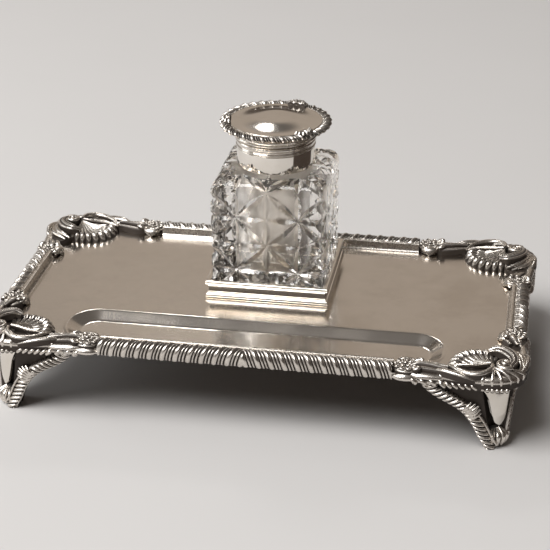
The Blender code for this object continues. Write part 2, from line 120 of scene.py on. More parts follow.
class Sheet:
    def __init__(self, owner):
        owner.use_nodes = True
        self.owner = owner
        self.tree = owner.node_tree
        self.tree.nodes.clear()

    def node(self, kind, settings=None, sockets=None):
        made = self.tree.nodes.new(kind)
        for key, value in (settings or {}).items():
            if key == "stops":
                self.setStops(made.color_ramp, value)
            else:
                setattr(made, key, value)
        for key, value in (sockets or {}).items():
            if isinstance(value, Wire):
                self.tree.links.new(value.socket, made.inputs[key])
            else:
                made.inputs[key].default_value = value
        return made

    def setStops(self, ramp, stops):
        while len(ramp.elements) < len(stops):
            ramp.elements.new(0.5)
        for element, (place, colour) in zip(ramp.elements, stops):
            element.position = place
            element.color = (*colour, 1.0)

    def out(self, node, key=0):
        return Wire(self, node.outputs[key])

    def mixColours(self, share, first, second):
        settings = {"data_type": "RGBA", "clamp_factor": True}
        colours = {"Factor": share, 6: self.rgba(first), 7: self.rgba(second)}
        return self.out(self.node("ShaderNodeMix", settings, colours), 2)

    def rgba(self, colour):
        return colour if isinstance(colour, Wire) else (*colour, 1.0)

    def coordinates(self, stretch=(1.0, 1.0, 1.0)):  # in millimetres, before any stretch
        place = self.out(self.node("ShaderNodeTexCoord"), "Object")
        scale = tuple(share / mm for share in stretch)
        return self.out(self.node("ShaderNodeVectorMath", {"operation": "MULTIPLY"}, {0: place, 1: scale}))

    def noise(self, scale, detail=3.0, roughness=0.5, stretch=(1.0, 1.0, 1.0)):
        made = self.node("ShaderNodeTexNoise", {}, {"Vector": self.coordinates(stretch), "Scale": scale,
                                                    "Detail": detail, "Roughness": roughness})
        return self.out(made, 0)

    def bump(self, height, strength, distance):
        made = self.node("ShaderNodeBump", {}, {"Height": height, "Strength": strength,
                                                "Distance": distance * mm})
        return self.out(made)

    def finish(self, sockets):
        shader = self.node("ShaderNodeBsdfPrincipled", {}, sockets)
        self.node("ShaderNodeOutputMaterial", {}, {"Surface": self.out(shader)})
        return self.owner


def sheetFor(name):
    return Sheet(bpy.data.materials.new(name))


# Finishes

trayLook = dict(bright=(0.80, 0.755, 0.70), dull=(0.70, 0.645, 0.58), smooth=0.15, rough=0.24)
castLook = dict(bright=(0.80, 0.755, 0.70), dull=(0.60, 0.555, 0.505), oxide=(0.045, 0.034, 0.027),
                smooth=0.20, rough=0.36)
brightLook = dict(bright=(0.86, 0.82, 0.765), dull=(0.74, 0.69, 0.62), smooth=0.05, rough=0.13)
# The tray's underside is near-black brown: tarnish, and painted shade that darkens the shadow under the tray
undersideShadeLook = dict(bright=(0.075, 0.052, 0.039), dull=(0.05, 0.034, 0.025), smooth=0.4, rough=0.6)
lidLook = dict(bright=(0.84, 0.80, 0.75), dull=(0.76, 0.72, 0.66), smooth=0.08, rough=0.15)


def sheetSilver(name, look, scratchScale=0.8, wear=0.16):
    sheet = sheetFor(name)
    cloud = sheet.noise(0.045, 4.0, 0.6).step(0.35, 0.68)
    grain = sheet.noise(0.9, 3.0, 0.6)
    brushing = sheet.noise(scratchScale, 2.0, 0.5, (0.12, 2.2, 1.0))
    fine = sheet.noise(scratchScale, 2.0, 0.5, (1.6, 0.18, 1.0))
    colour = sheet.mixColours(cloud * 0.8 + grain * 0.2, look["bright"], look["dull"])
    roughness = look["smooth"] + (look["rough"] - look["smooth"]) * (cloud * 0.6 + brushing * 0.4)
    height = brushing * 0.5 + fine * 0.35 + sheet.noise(0.05, 1.0, 0.4) * 6.0
    return sheet.finish({"Base Color": colour, "Metallic": 1.0, "Roughness": roughness,
                         "Normal": sheet.bump(height, wear, 0.05)})


def castSilver(name, look, tarnish=1.0):
    # Dark oxide stays in the hollows; the crests are rubbed bright. Strips given shade also bring painted
    # shade through the hollow attribute.
    sheet = sheetFor(name)
    hollow = sheet.out(sheet.node("ShaderNodeAttribute", {"attribute_name": "hollow"}), "Fac")
    grain = sheet.noise(1.3, 4.0, 0.65)
    cloud = sheet.noise(0.12, 3.0, 0.5).step(0.35, 0.7)
    oxide = (hollow + (grain - 0.5) * 0.35).step(0.42, 0.80) * tarnish
    rubbed = sheet.mixColours(cloud * 0.6 + grain * 0.3, look["bright"], look["dull"])
    colour = sheet.mixColours(oxide, rubbed, look["oxide"])
    roughness = look["smooth"] + (look["rough"] - look["smooth"]) * grain + oxide * 0.35
    return sheet.finish({"Base Color": colour, "Metallic": 1.0 - oxide * 0.75, "Roughness": roughness,
                         "Normal": sheet.bump(grain, 0.22, 0.08)})


def clearGlass(name, tint, low, high):
    sheet = sheetFor(name)
    smear = sheet.noise(0.25, 3.0, 0.55).step(0.4, 0.75)
    return sheet.finish({"Base Color": (*tint, 1.0), "Transmission Weight": 1.0, "IOR": 1.51,
                         "Roughness": low + smear * (high - low)})


def settingPlaster(name):
    sheet = sheetFor(name)
    grain = sheet.noise(2.4, 4.0, 0.6)
    colour = sheet.mixColours(grain, (0.80, 0.78, 0.72), (0.66, 0.63, 0.57))
    return sheet.finish({"Base Color": colour, "Roughness": 0.75 + grain * 0.2,
                         "Normal": sheet.bump(grain, 0.4, 0.1)})


traySilver = sheetSilver("trayPolish", trayLook)
lidSilver = sheetSilver("lidPolish", lidLook, 0.8, 0.07)
brightSilver = sheetSilver("collarPolish", brightLook, 0.5, 0.02)
undersideShadedSilver = sheetSilver("undersideTarnishAndShade", undersideShadeLook)
borderSilver = castSilver("borderCasting", castLook)
footSilver = castSilver("footCasting", castLook)
lidCasting = castSilver("lidCasting", castLook)
hingeSilver = sheetSilver("hingePolish", brightLook, 1.5, 0.06)
bottleGlass = clearGlass("bottleGlass", (0.995, 0.975, 0.945), 0.0, 0.03)
cutFacetGlass = clearGlass("cutFacetGlass", (0.995, 0.975, 0.95), 0.09, 0.18)
insideGlass = clearGlass("insideGlass", (0.94, 0.895, 0.835), 0.28, 0.45)  # dulled by old ink
collarPlaster = settingPlaster("collarPlaster")
print("finishes made")


# Gathers the skins that make up one piece

class Form:
    def __init__(self):
        self.points = []
        self.faces = []
        self.hollows = []
        self.count = 0

    def skin(self, places, hollow=0.0, loop=False):
        # places[row][column]: columns go round the section, and open ends get flat caps
        rows, columns = places.shape[:2]
        self.points.append(places.reshape(-1, 3))
        self.hollows.append(np.broadcast_to(hollow, (rows, columns)).reshape(-1))
        row = np.arange(rows if loop else rows - 1)[:, None]
        column = np.arange(columns)[None, :]
        rowAfter, columnAfter = (row + 1) % rows, (column + 1) % columns
        quads = np.stack([row * columns + column, row * columns + columnAfter,
                          rowAfter * columns + columnAfter, rowAfter * columns + column], -1)
        self.faces += (quads.reshape(-1, 4) + self.count).tolist()
        if not loop:
            self.faces.append(list(range(self.count, self.count + columns)))
            self.faces.append(list(range(self.count + (rows - 1) * columns, self.count + rows * columns)))
        self.count += rows * columns

    def build(self, name, material, sharpAngle=55.0):
        mesh = bpy.data.meshes.new(name)
        inside = np.clip(np.concatenate(self.points) * mm, *sizeAtLoad)  # nothing leaves the solids' box
        mesh.from_pydata(inside.tolist(), [], self.faces)
        layer = mesh.attributes.new("hollow", "FLOAT", "POINT")
        layer.data.foreach_set("value", np.concatenate(self.hollows).astype(np.float32))
        work = bmesh.new()
        work.from_mesh(mesh)
        bmesh.ops.recalc_face_normals(work, faces=work.faces)
        work.to_mesh(mesh)
        work.free()
        mesh.shade_smooth()
        mesh.set_sharp_from_angle(angle=math.radians(sharpAngle))
        mesh.materials.append(material)
        piece = bpy.data.objects.new(name, mesh)
        bpy.context.scene.collection.objects.link(piece)
        return piece


def settle(piece, body, slot, *nodes):
    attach(piece, body)
    if nodes:
        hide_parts(*nodes)
    return piece


def smoothStep(value, low, high):
    share = np.clip((value - low) / (high - low), 0.0, 1.0)
    return share * share * (3 - 2 * share)


def bell(value, middle, width):
    return np.exp(-((value - middle) / width) ** 2)


def sectionNormals(across, height):
    # Outward normals of a closed section drawn counter-clockwise or clockwise
    stepAcross = np.roll(across, -1) - np.roll(across, 1)
    stepHeight = np.roll(height, -1) - np.roll(height, 1)
    length = np.hypot(stepAcross, stepHeight) + 1e-9
    normalA, normalH = stepHeight / length, -stepAcross / length
    area = np.sum(across * np.roll(height, -1) - np.roll(across, -1) * height)
    turn = 1.0 if area > 0 else -1.0
    return normalA * turn, normalH * turn


def arcPoints(centre, radii, start, end, count):
    angle = np.radians(np.linspace(start, end, count))
    return np.stack([centre[0] + radii[0] * np.cos(angle), centre[1] + radii[1] * np.sin(angle)], -1)


def roundedOutline(halfX, halfY, radius, count=14):
    corners = []
    for quarter, (signX, signY) in enumerate(((1, 1), (-1, 1), (-1, -1), (1, -1))):
        centre = (signX * (halfX - radius), signY * (halfY - radius))
        corners.append(arcPoints(centre, (radius, radius), 90 * quarter, 90 * quarter + 90, count))
    return np.concatenate(corners)


def turnedForm(profile, sides=160, centre=(0.0, wellY)):
    # A closed profile of (radius, height) points turned round an upright axis
    profile = np.array(profile, float)
    angle = np.linspace(0, tau, sides, endpoint=False)[:, None]
    places = np.stack([centre[0] + profile[:, 0] * np.cos(angle), centre[1] + profile[:, 0] * np.sin(angle),
                       np.broadcast_to(profile[:, 1], (sides, len(profile)))], -1)
    form = Form()
    form.skin(places, loop=True)
    return form


# Camera

cameraLook = dict(place=(0.10337, -0.57167, 0.32469), azimuth=10.003, elevation=26.162, roll=-0.307,
                  lens=105.516)


def setCamera(look):
    azimuth, elevation, roll = (math.radians(look[key]) for key in ("azimuth", "elevation", "roll"))
    back = Vector((math.sin(azimuth) * math.cos(elevation), -math.cos(azimuth) * math.cos(elevation),
                   math.sin(elevation)))
    level = Vector((math.cos(azimuth), math.sin(azimuth), 0.0))
    rise = back.cross(level)
    right = math.cos(roll) * level + math.sin(roll) * rise
    up = math.cos(roll) * rise - math.sin(roll) * level
    data = bpy.data.cameras.new("camera")
    data.sensor_width = 36.0
    data.lens = look["lens"]
    camera = bpy.data.objects.new("camera", data)
    bpy.context.scene.collection.objects.link(camera)
    turn = Matrix((right, up, back)).transposed().to_4x4()
    camera.matrix_world = Matrix.Translation(look["place"]) @ turn
    bpy.context.scene.camera = camera


setCamera(cameraLook)


# Floor, room light and lamps

floorLook = dict(half=6.0, colour=(0.64, 0.626, 0.615))
cardLook = dict(x=0.150, lean=0.03, nearY=-0.075, farY=0.150, height=0.16, colour=(0.045, 0.032, 0.025))
roomLook = dict(open=(0.125, 0.113, 0.103), low=(0.075, 0.054, 0.041), back=(0.41, 0.352, 0.298),
                left=(0.40, 0.385, 0.37), side=(0.035, 0.026, 0.02), strength=1.0)
lamps = [
    dict(name="frontWindow", place=(-0.92, -0.86, 1.95), aim=(0.0, 0.0, 0.03), size=1.4, power=60.0,
         colour=(1.0, 0.992, 0.985)),
    dict(name="backLamp", place=(-0.30, 0.95, 1.00), aim=(0.0, 0.0, 0.05), size=0.17, power=1.3,
         colour=(1.0, 0.985, 0.96)),
    dict(name="leftWindow", place=(-1.1, 0.05, 0.50), aim=(0.0, 0.0, 0.05), size=0.5, power=1.8,
         colour=(0.95, 0.98, 1.0)),
]


def layFloor(look):
    mesh = bpy.data.meshes.new("floor")
    work = bmesh.new()
    bmesh.ops.create_grid(work, x_segments=1, y_segments=1, size=look["half"])
    work.to_mesh(mesh)
    work.free()
    sheet = sheetFor("floorPaper")
    grain = sheet.noise(0.01, 2.0, 0.5)
    colour = sheet.mixColours(grain, look["colour"], tuple(0.97 * part for part in look["colour"]))
    mesh.materials.append(sheet.finish({"Base Color": colour, "Roughness": 0.8}))
    floor = bpy.data.objects.new("floor", mesh)
    bpy.context.scene.collection.objects.link(floor)


def standCard(look):
    # A dark card to the right keeps that side of the silver and the glass dark
    mesh = bpy.data.meshes.new("darkCard")
    foot, head = look["x"], look["x"] + look["lean"]
    corners = [(foot, look["nearY"], 0.0), (foot, look["farY"], 0.0), (head, look["farY"], look["height"]),
               (head, look["nearY"], look["height"])]
    mesh.from_pydata(corners, [], [(0, 1, 2, 3)])
    sheet = sheetFor("cardPaper")
    mesh.materials.append(sheet.finish({"Base Color": (*look["colour"], 1.0), "Roughness": 0.9}))
    card = bpy.data.objects.new("darkCard", mesh)
    bpy.context.scene.collection.objects.link(card)
    card.visible_camera = False  # seen only in the silver and through the glass
    card.visible_shadow = False
    card.visible_diffuse = False


def lightRoom(look):
    # A pale room with a taupe stretch behind the stand and a dark side to the right
    world = bpy.data.worlds.new("room")
    bpy.context.scene.world = world
    sheet = Sheet(world)
    ray = sheet.out(sheet.node("ShaderNodeTexCoord"), "Generated")
    parts = sheet.node("ShaderNodeSeparateXYZ", {}, {0: ray})
    sideways, away, up = (sheet.out(parts, i) for i in range(3))
    colour = sheet.mixColours(up.step(-0.1, 0.5), look["low"], look["open"])
    left = (0 - sideways).step(0.35, 0.75) * (1 - up.step(0.5, 0.8))
    colour = sheet.mixColours(left, colour, look["left"])
    back = away.step(0.72, 0.86) * up.step(0.14, 0.24) * (1 - up.step(0.56, 0.74))
    colour = sheet.mixColours(back, colour, look["back"])
    side = sideways.step(0.30, 0.62) * (1 - up.step(0.55, 0.85))
    colour = sheet.mixColours(side, colour, look["side"])
    shade = sheet.node("ShaderNodeBackground", {}, {"Color": colour, "Strength": look["strength"]})
    sheet.node("ShaderNodeOutputWorld", {}, {"Surface": sheet.out(shade)})


def hangLamps(lamps):
    for lamp in lamps:
        data = bpy.data.lights.new(lamp["name"], "AREA")
        data.size = lamp["size"]
        data.energy = lamp["power"]
        data.color = lamp["colour"]
        holder = bpy.data.objects.new(lamp["name"], data)
        bpy.context.scene.collection.objects.link(holder)
        holder.location = lamp["place"]
        aim = Vector(lamp["aim"]) - holder.location
        holder.rotation_euler = aim.to_track_quat("-Z", "Y").to_euler()


layFloor(floorLook)
standCard(cardLook)
lightRoom(roomLook)
hangLamps(lamps)
bpy.context.scene.view_settings.view_transform = "Standard"
print("camera, floor and lights set")


# Tray sheet

tray = dict(thickness=1.0, cornerRadius=9.0, troughHalfLength=73.5, troughHalfWidth=12.6, troughY=-35.9,
            troughCorner=11.5, lipRun=1.3, lipRise=0.12, wallRun=6.2, depth=2.6, edgeRings=4, lipRings=7,
            wallRings=26)


def makeTray(look):
    # Rings run from the sheet's edge over the field, over the trough's lip, down its wall to its floor
    halfX, halfY = trayHigh[0], trayHigh[1]
    rings = []

    def ring(halfX, halfY, radius, centreY, height):
        outline = roundedOutline(halfX, halfY, max(radius, 0.2), 18)
        rings.append(np.column_stack([outline[:, 0], outline[:, 1] + centreY, np.full(len(outline), height)]))

    def trough(inset, height):
        ring(look["troughHalfLength"] - inset, look["troughHalfWidth"] - inset,
             look["troughCorner"] - inset, look["troughY"], height)

    for share in np.linspace(0.0, 1.0, look["edgeRings"] + 1):
        ring(halfX, halfY, look["cornerRadius"], 0.0, fieldZ - look["thickness"] * (1 - share))
    for share in np.linspace(-1.0, 0.0, look["lipRings"]):
        trough(share * look["lipRun"], fieldZ + look["lipRise"] * smoothStep(share, -1.0, -0.1))
    share = np.linspace(0.0, 1.0, look["wallRings"])
    slope = smoothStep(share, -0.04, 0.16) * (1 - smoothStep(share, 0.70, 1.0))
    fall = np.cumsum(slope) / np.sum(slope)
    for out, down in zip(share[1:], fall[1:]):
        trough(look["wallRun"] * out, fieldZ + look["lipRise"] - (look["depth"] + look["lipRise"]) * down)
    top = np.array(rings)
    form = Form()
    below = top[look["edgeRings"] + 1:].copy()[::-1]
    below[:, :, 2] -= look["thickness"]
    form.skin(np.concatenate([below, top]))
    piece = form.build("trayPlate", traySilver, 30)
    # Faces that look down take the underside's tarnish and painted shade
    piece.data.materials.append(undersideShadedSilver)
    for face in piece.data.polygons:
        face.material_index = int(face.normal.z < -0.4)
    return settle(piece, "stand", "tray_silver", "tray_plate")


makeTray(tray)
print("tray made")


# Cast borders

border = dict(width=8.6, gadroonWidth=5.8, filletWidth=1.3, filletStep=1.0, lip=2.35, pitch=5.0, lean=4.4,
              groove=0.95, samplesPerPitch=22)


def borderSection(look):
    # Section of the border as (distance in from the outer edge, height) with the stroke band's share along it
    crest = (borderTop + borderBottom) / 2 - 0.25
    half = look["gadroonWidth"] / 1.76
    over = arcPoints((half, crest), (-half, borderTop - crest), 140, 0, 30)
    under = arcPoints((1.6, crest), (-1.6, borderBottom - crest), 0, 90, 12)[1:]
    filletIn = look["gadroonWidth"] + 0.25
    filletOut = filletIn + look["filletWidth"]
    filletZ = borderTop - look["filletStep"]
    base = fieldZ - 0.15
    coveTop = filletZ - 0.3
    cove = arcPoints((look["width"], coveTop), (-(look["width"] - filletOut), -(coveTop - fieldZ)), 90, 0, 9)
    rest = np.array([(look["lip"], borderBottom + 0.1), (look["lip"], base), (look["width"], base)])
    strip = np.array([(filletOut - 0.05, filletZ - 0.1), (filletOut - 0.2, filletZ),
                      (filletIn + 0.2, filletZ), (filletIn + 0.05, filletZ - 0.12),
                      (filletIn, filletZ - 0.6)])
    points = np.concatenate([over, under, rest, cove, strip])
    band = np.full(len(points), -1.0)
    strokes = len(over) + len(under)
    length = np.concatenate([[0], np.cumsum(np.hypot(*np.diff(points[:strokes], axis=0).T))])
    band[:strokes] = length / length[-1]
    return points[:, 0], points[:, 1], band


def alongSide(side, along, inset, height):
    # Turns (along, inset, height) into a place on the front, right, back or left border
    if side == "front":
        return np.stack([along, inset - halfDepth, height], -1)
    if side == "back":
        return np.stack([-along, halfDepth - inset, height], -1)
    if side == "right":
        return np.stack([halfLength - inset, along, height], -1)
    return np.stack([inset - halfLength, -along, height], -1)


# Start, end, height and roundness of each part of a gadroon repeat
strokeParts = ((0.0, 0.46, 1.0, 0.55), (0.50, 0.72, 0.72, 0.7), (0.76, 0.98, 0.62, 0.7))


def strokeRelief(phase):
    # One gadroon repeat: a broad lobe, then two thin reeds. 1 on a crest and 0 in a groove
    share = phase % 1.0
    relief = np.zeros_like(share)
    for start, end, height, power in strokeParts:
        inside = (share > start) & (share < end)
        wave = np.sin(math.pi * np.clip((share - start) / (end - start), 0, 1))
        relief = np.where(inside, height * wave ** power, relief)
    return relief


def gadroonForm(side, halfRun, look):
    inset, height, band = borderSection(look)
    normalIn, normalUp = sectionNormals(inset, height)
    count = int(2 * halfRun / look["pitch"] * look["samplesPerPitch"]) + 1
    along = np.linspace(-halfRun, halfRun, count)[:, None]
    onBand = band >= 0
    share = np.where(onBand, band, 0.0)
    phase = (np.abs(along) + look["lean"] * (1 - share) ** 1.7) / look["pitch"]
    relief = strokeRelief(phase)
    depth = look["groove"] * smoothStep(share, 0.0, 0.12) * (1 - 0.45 * smoothStep(share, 0.85, 1.0))
    cut = np.where(onBand, depth * (1 - relief), 0.0)
    hollow = np.where(onBand, np.clip((1 - relief) * 1.15, 0, 1) * smoothStep(share, 0.0, 0.1), 0.0)
    hollow = np.where((~onBand) & (np.arange(len(band)) == len(band) - 1), 1.0, hollow)
    along = np.broadcast_to(along, cut.shape)
    places = alongSide(side, along, inset - normalIn * cut, height - normalUp * cut)
    form = Form()
    form.skin(places, hollow)
    return form


def makeBorders(look):
    for side, node in (("front", "gadroon_front"), ("right", "gadroon_right"), ("back", "gadroon_back"),
                       ("left", "gadroon_left")):
        low, high = boxOf(node)
        halfRun = max(high[0] - low[0], high[1] - low[1]) / 2
        piece = gadroonForm(side, halfRun + 0.2, look).build("gadroonBorder_" + side, borderSilver)
        settle(piece, "stand", "cast_silver", node)


makeBorders(border)
print("gadroon borders made")


# Gallery round the inkwell

gallery = dict(thickness=2.0, reed=0.85, hollow=0.75)


def makeGallery(look):
    low, high = galleryLow[2] - 0.2, galleryHigh[2]
    half = (galleryHigh[0] - galleryLow[0]) / 2
    reed = look["reed"]
    lower = arcPoints((reed, low + reed), (-reed, reed), -90, 80, 10)
    upper = arcPoints((reed, high - reed), (-reed, reed), -80, 90, 10)
    middle = (lower[-1, 1] + upper[0, 1]) / 2
    reach = (upper[0, 1] - lower[-1, 1]) / 2 - 0.25
    hollow = arcPoints((reed + 0.1, middle), (look["hollow"] - 0.45, reach), -80, 80, 12)
    inner = np.array([(look["thickness"], high), (look["thickness"], low)])
    section = np.concatenate([lower, hollow, upper, inner])
    for turn, side in enumerate(("front", "right", "back", "left")):
        ends = []
        for hand in (-1, 1):
            along = hand * (half - section[:, 0])
            ends.append(np.column_stack([along, section[:, 0] - half, section[:, 1]]))
        places = np.array([ends[0] + (ends[1] - ends[0]) * share for share in np.linspace(0, 1, 5)])
        angle = turn * math.pi / 2
        x = places[..., 0] * math.cos(angle) - places[..., 1] * math.sin(angle)
        y = places[..., 0] * math.sin(angle) + places[..., 1] * math.cos(angle) + wellY
        form = Form()
        form.skin(np.stack([x, y, places[..., 2]], -1))
        piece = form.build("galleryMoulding_" + side, brightSilver, 40)
        settle(piece, "stand", "bright_silver", "gallery_" + side)


makeGallery(gallery)
print("gallery made")


# Collar and lid

collar = dict(edge=0.25, wall=0.7, tuck=0.35, mouth=13.9)


def roundedProfile(points, radius=0.2, steps=4):
    # Rounds every corner of a closed (radius, height) outline
    points = np.array(points, float)
    smooth = []
    for before, here, after in zip(np.roll(points, 1, 0), points, np.roll(points, -1, 0)):
        toBefore, toAfter = before - here, after - here
        room = min(np.linalg.norm(toBefore), np.linalg.norm(toAfter)) / 2.2
        reach = min(radius, room)
        start = here + toBefore / np.linalg.norm(toBefore) * reach
        end = here + toAfter / np.linalg.norm(toAfter) * reach
        for share in np.linspace(0, 1, steps + 1):
            smooth.append((1 - share) ** 2 * start + 2 * share * (1 - share) * here + share ** 2 * end)
    return np.array(smooth)


def makeCollar(look):
    bandRadius = bandHigh[0]
    innerRadius = bandRadius - look["wall"]
    bandTop = bandHigh[2] + look["tuck"]
    band = [(bandRadius, bandLow[2]), (bandRadius, bandTop), (innerRadius, bandTop),
            (innerRadius, bandLow[2])]
    piece = turnedForm(roundedProfile(band, look["edge"])).build("collarBand", brightSilver, 40)
    settle(piece, "inkwell", "bright_silver", "collar_band")
    low, high, wide = mouldingLow[2], mouldingHigh[2], mouldingHigh[0]
    outer = np.concatenate([
        [(bandRadius - 0.1, low), (bandRadius + 0.1, low + 0.15)],
        arcPoints((bandRadius - 0.25, low + 0.75), (0.6, 0.5), -70, 70, 7),
        arcPoints((bandRadius + 0.35, low + 1.6), (-0.45, 0.45), -50, 50, 6),
        arcPoints((wide - 0.95, low + 2.85), (0.95, 0.85), -60, 80, 12),
        [(bandRadius - 0.4, high)],
    ])
    profile = np.concatenate([outer, [(look["mouth"], high), (look["mouth"], low)]])
    piece = turnedForm(profile).build("collarMoulding", brightSilver, 45)
    settle(piece, "inkwell", "bright_silver", "collar_moulding")


lid = dict(mouth=13.9, sides=160, strokes=34, lean=0.7, groove=1.0)


def makeLid(look):
    low, high, wide = bezelLow[2], bezelHigh[2], bezelHigh[0]
    outer = np.concatenate([
        [(wide - 1.0, low)],
        arcPoints((wide - 0.45, low + 0.55), (0.45, 0.42), -80, 60, 8),
        arcPoints((wide - 0.9, low + 1.75), (0.9, 0.85), -50, 85, 12),
        arcPoints((wide + 0.1, high - 0.3), (-1.35, -1.7), 75, 5, 10),
        [(wide - 1.0, high)],
    ])
    profile = np.concatenate([outer, [(look["mouth"], high), (look["mouth"], low)]])
    piece = turnedForm(profile).build("lidBezel", brightSilver, 45)
    settle(piece, "lid", "lid_silver", "lid_bezel")
    radius, crown, edge = plateHigh[0], plateHigh[2], plateLow[2] + 1.0
    share = np.linspace(0.0, 1.0, 26)[1:]
    dome = crown - (crown - edge) * (0.15 * share ** 2 + 0.85 * smoothStep(share, 0.30, 0.97))
    lip = arcPoints((radius - 0.25, edge - 0.1), (0.25, 0.15), 80, 0, 4)
    over = np.column_stack([share * (radius - 0.9), dome])
    rings = np.concatenate([over, lip, [(radius, plateLow[2] + 0.1), (radius - 0.2, plateLow[2])]])
    angle = np.linspace(0, tau, look["sides"], endpoint=False)
    places = np.stack([rings[:, :1] * np.cos(angle), wellY + rings[:, :1] * np.sin(angle),
                       np.broadcast_to(rings[:, 1:], (len(rings), len(angle)))], -1)
    form = Form()
    form.skin(places)
    settle(form.build("lidPlate", lidSilver, 45), "lid", "lid_silver", "lid_plate")


def makeLidRim(look):
    inner, outer = plateHigh[0] + 0.1, rimHigh[0] - 0.05
    top, bottom = rimHigh[2], rimLow[2]
    middle, half = (inner + outer) / 2, (outer - inner) / 2
    over = arcPoints((middle, top - 1.35), (half, 1.35), 178, 0, 26)
    under = arcPoints((middle + 0.3, top - 1.35), (half - 0.3, -(top - 1.35 - bottom)), 0, 80, 8)[1:]
    section = np.concatenate([over, under, [(inner + 0.3, bottom), (inner, bottom + 0.4)]])
    normalR, normalH = sectionNormals(section[:, 0], section[:, 1])
    band = np.zeros(len(section))
    strokes = len(over) + len(under)
    band[:strokes] = np.linspace(0.0, 1.0, strokes)
    window = np.where(np.arange(len(section)) < strokes, smoothStep(band, 0.06, 0.2), 0.0)
    turn = np.linspace(0, 1, look["strokes"] * 20, endpoint=False)[:, None]
    phase = turn * look["strokes"] + look["lean"] * (1 - band) ** 1.5
    relief = strokeRelief(phase)
    cut = look["groove"] * window * (1 - relief)
    radius = section[:, 0] - normalR * cut
    height = section[:, 1] - normalH * cut
    angle = turn * tau
    places = np.stack([radius * np.cos(angle), wellY + radius * np.sin(angle), height], -1)
    form = Form()
    form.skin(places, np.clip((1 - relief) * 1.5, 0, 1) * window, loop=True)
    settle(form.build("lidRim", lidCasting), "lid", "cast_silver", "lid_rim")


makeCollar(collar)
makeLid(lid)
makeLidRim(lid)
print("collar and lid made")


# Chased ornament, drawn in a corner's own measure:
# a in along the long side, b in along the short side, and the height above the field

def curveThrough(knots, count):
    # A smooth path through a few places
    knots = np.array(knots, float)
    padded = np.vstack([2 * knots[0] - knots[1], knots, 2 * knots[-1] - knots[-2]])
    spans = len(knots) - 1
    where = np.linspace(0, spans, count)
    span = np.minimum(where.astype(int), spans - 1)
    t = (where - span)[:, None]
    p0, p1, p2, p3 = (padded[span + i] for i in range(4))
    return 0.5 * (2 * p1 + (p2 - p0) * t + (2 * p0 - 5 * p1 + 4 * p2 - p3) * t ** 2
                  + (3 * p1 - p0 - 3 * p2 + p3) * t ** 3)


def spread(values, count):
    values = np.array(values, float)
    return np.interp(np.linspace(0, 1, count), np.linspace(0, 1, len(values)), values)


def addBlade(form, path, widths, heights, ribs=0, ribDepth=0.35, bed=0.5, shade=0.0, up=(0, 0, 1), tilt=0.0,
             edge=1.0):
    # A strip of metal along a path: half-round on top, ribbed if asked, flat beneath
    path = np.asarray(path, float)
    count = len(path)
    along = np.gradient(path, axis=0)
    along /= np.linalg.norm(along, axis=1)[:, None] + 1e-9
    up = np.broadcast_to(np.array(up, float), path.shape)
    across = np.cross(along, up)
    across /= np.linalg.norm(across, axis=1)[:, None] + 1e-9
    rise = np.cross(across, along)
    if tilt:
        turn = math.radians(tilt)
        across, rise = (across * math.cos(turn) + rise * math.sin(turn),
                        rise * math.cos(turn) - across * math.sin(turn))
    angle = np.linspace(0, math.pi, 25 if ribs else 13)
    side, lift = np.cos(angle), np.sin(angle) ** 0.8
    # The low sides and the flat underside darken by edge; shade adds painted shade over the whole strip
    hollow = np.clip(0.85 - 1.9 * lift, 0, 1) * edge + shade
    if ribs:
        wave = 0.5 + 0.5 * np.cos(side * ribs * math.pi)
        lift = lift * (1 - ribDepth * (1 - wave))
        hollow = np.clip(hollow + (1 - wave) * 0.95, 0, 1)
    side = np.concatenate([side, [-0.9, 0.9]])
    lift = np.concatenate([lift, [-bed, -bed]])
    hollow = np.concatenate([hollow, [edge, edge]])
    width = spread(widths, count)[:, None, None] / 2
    height = spread(heights, count)[:, None, None]
    places = (path[:, None] + across[:, None] * side[None, :, None] * width
              + rise[:, None] * lift[None, :, None] * height)
    form.skin(places, hollow)


def addStrand(form, knots, count, widths, heights, **shape):
    # A blade on a smooth path through a few places
    addBlade(form, curveThrough(knots, count), widths, heights, **shape)


def addBead(form, centre, size, hollow=0.0):
    # A drop of metal
    size = np.broadcast_to(np.array(size, float), 3)
    polar = np.linspace(0.06, math.pi - 0.06, 9)[:, None]
    turn = np.linspace(0, tau, 16, endpoint=False)[None, :]
    ball = np.stack([np.sin(polar) * np.cos(turn), np.sin(polar) * np.sin(turn),
                     np.broadcast_to(np.cos(polar), (9, 16))], -1)
    low = np.clip(-np.cos(polar) * 1.2 + 0.35, 0, 1)
    form.skin(np.array(centre, float) + ball * size, np.maximum(low, hollow))


def addPlate(form, outline, low, high, hollow=1.0):
    # A flat bed with the given (a, b) outline
    outline = np.array(outline, float)
    rings = [np.column_stack([outline, np.full(len(outline), height)]) for height in (low, high)]
    form.skin(np.array(rings), hollow)


def spiral(centre, start, turns, radiusFrom, radiusTo, height, rise=0.0, count=46):
    share = np.linspace(0, 1, count)
    radius = radiusFrom * (radiusTo / radiusFrom) ** share
    angle = math.radians(start) + tau * turns * share
    return np.column_stack([centre[0] + radius * np.cos(angle), centre[1] + radius * np.sin(angle),
                            height + rise * share])


def placed(form, signX, signY):
    form.points = [np.column_stack([signX * (halfLength - part[:, 0]), signY * (halfDepth - part[:, 1]),
                                    fieldZ + part[:, 2]]) for part in form.points]
    return form


shell = dict(hub=(12.0, 7.6), fromAngle=-12.0, toAngle=104.0, lobes=10, hubHeight=4.4, bowl=2.3, rim=3.7,
             reach=(15.6, 16.4, 17.2, 17.0, 15.8, 14.4, 13.2, 12.2))


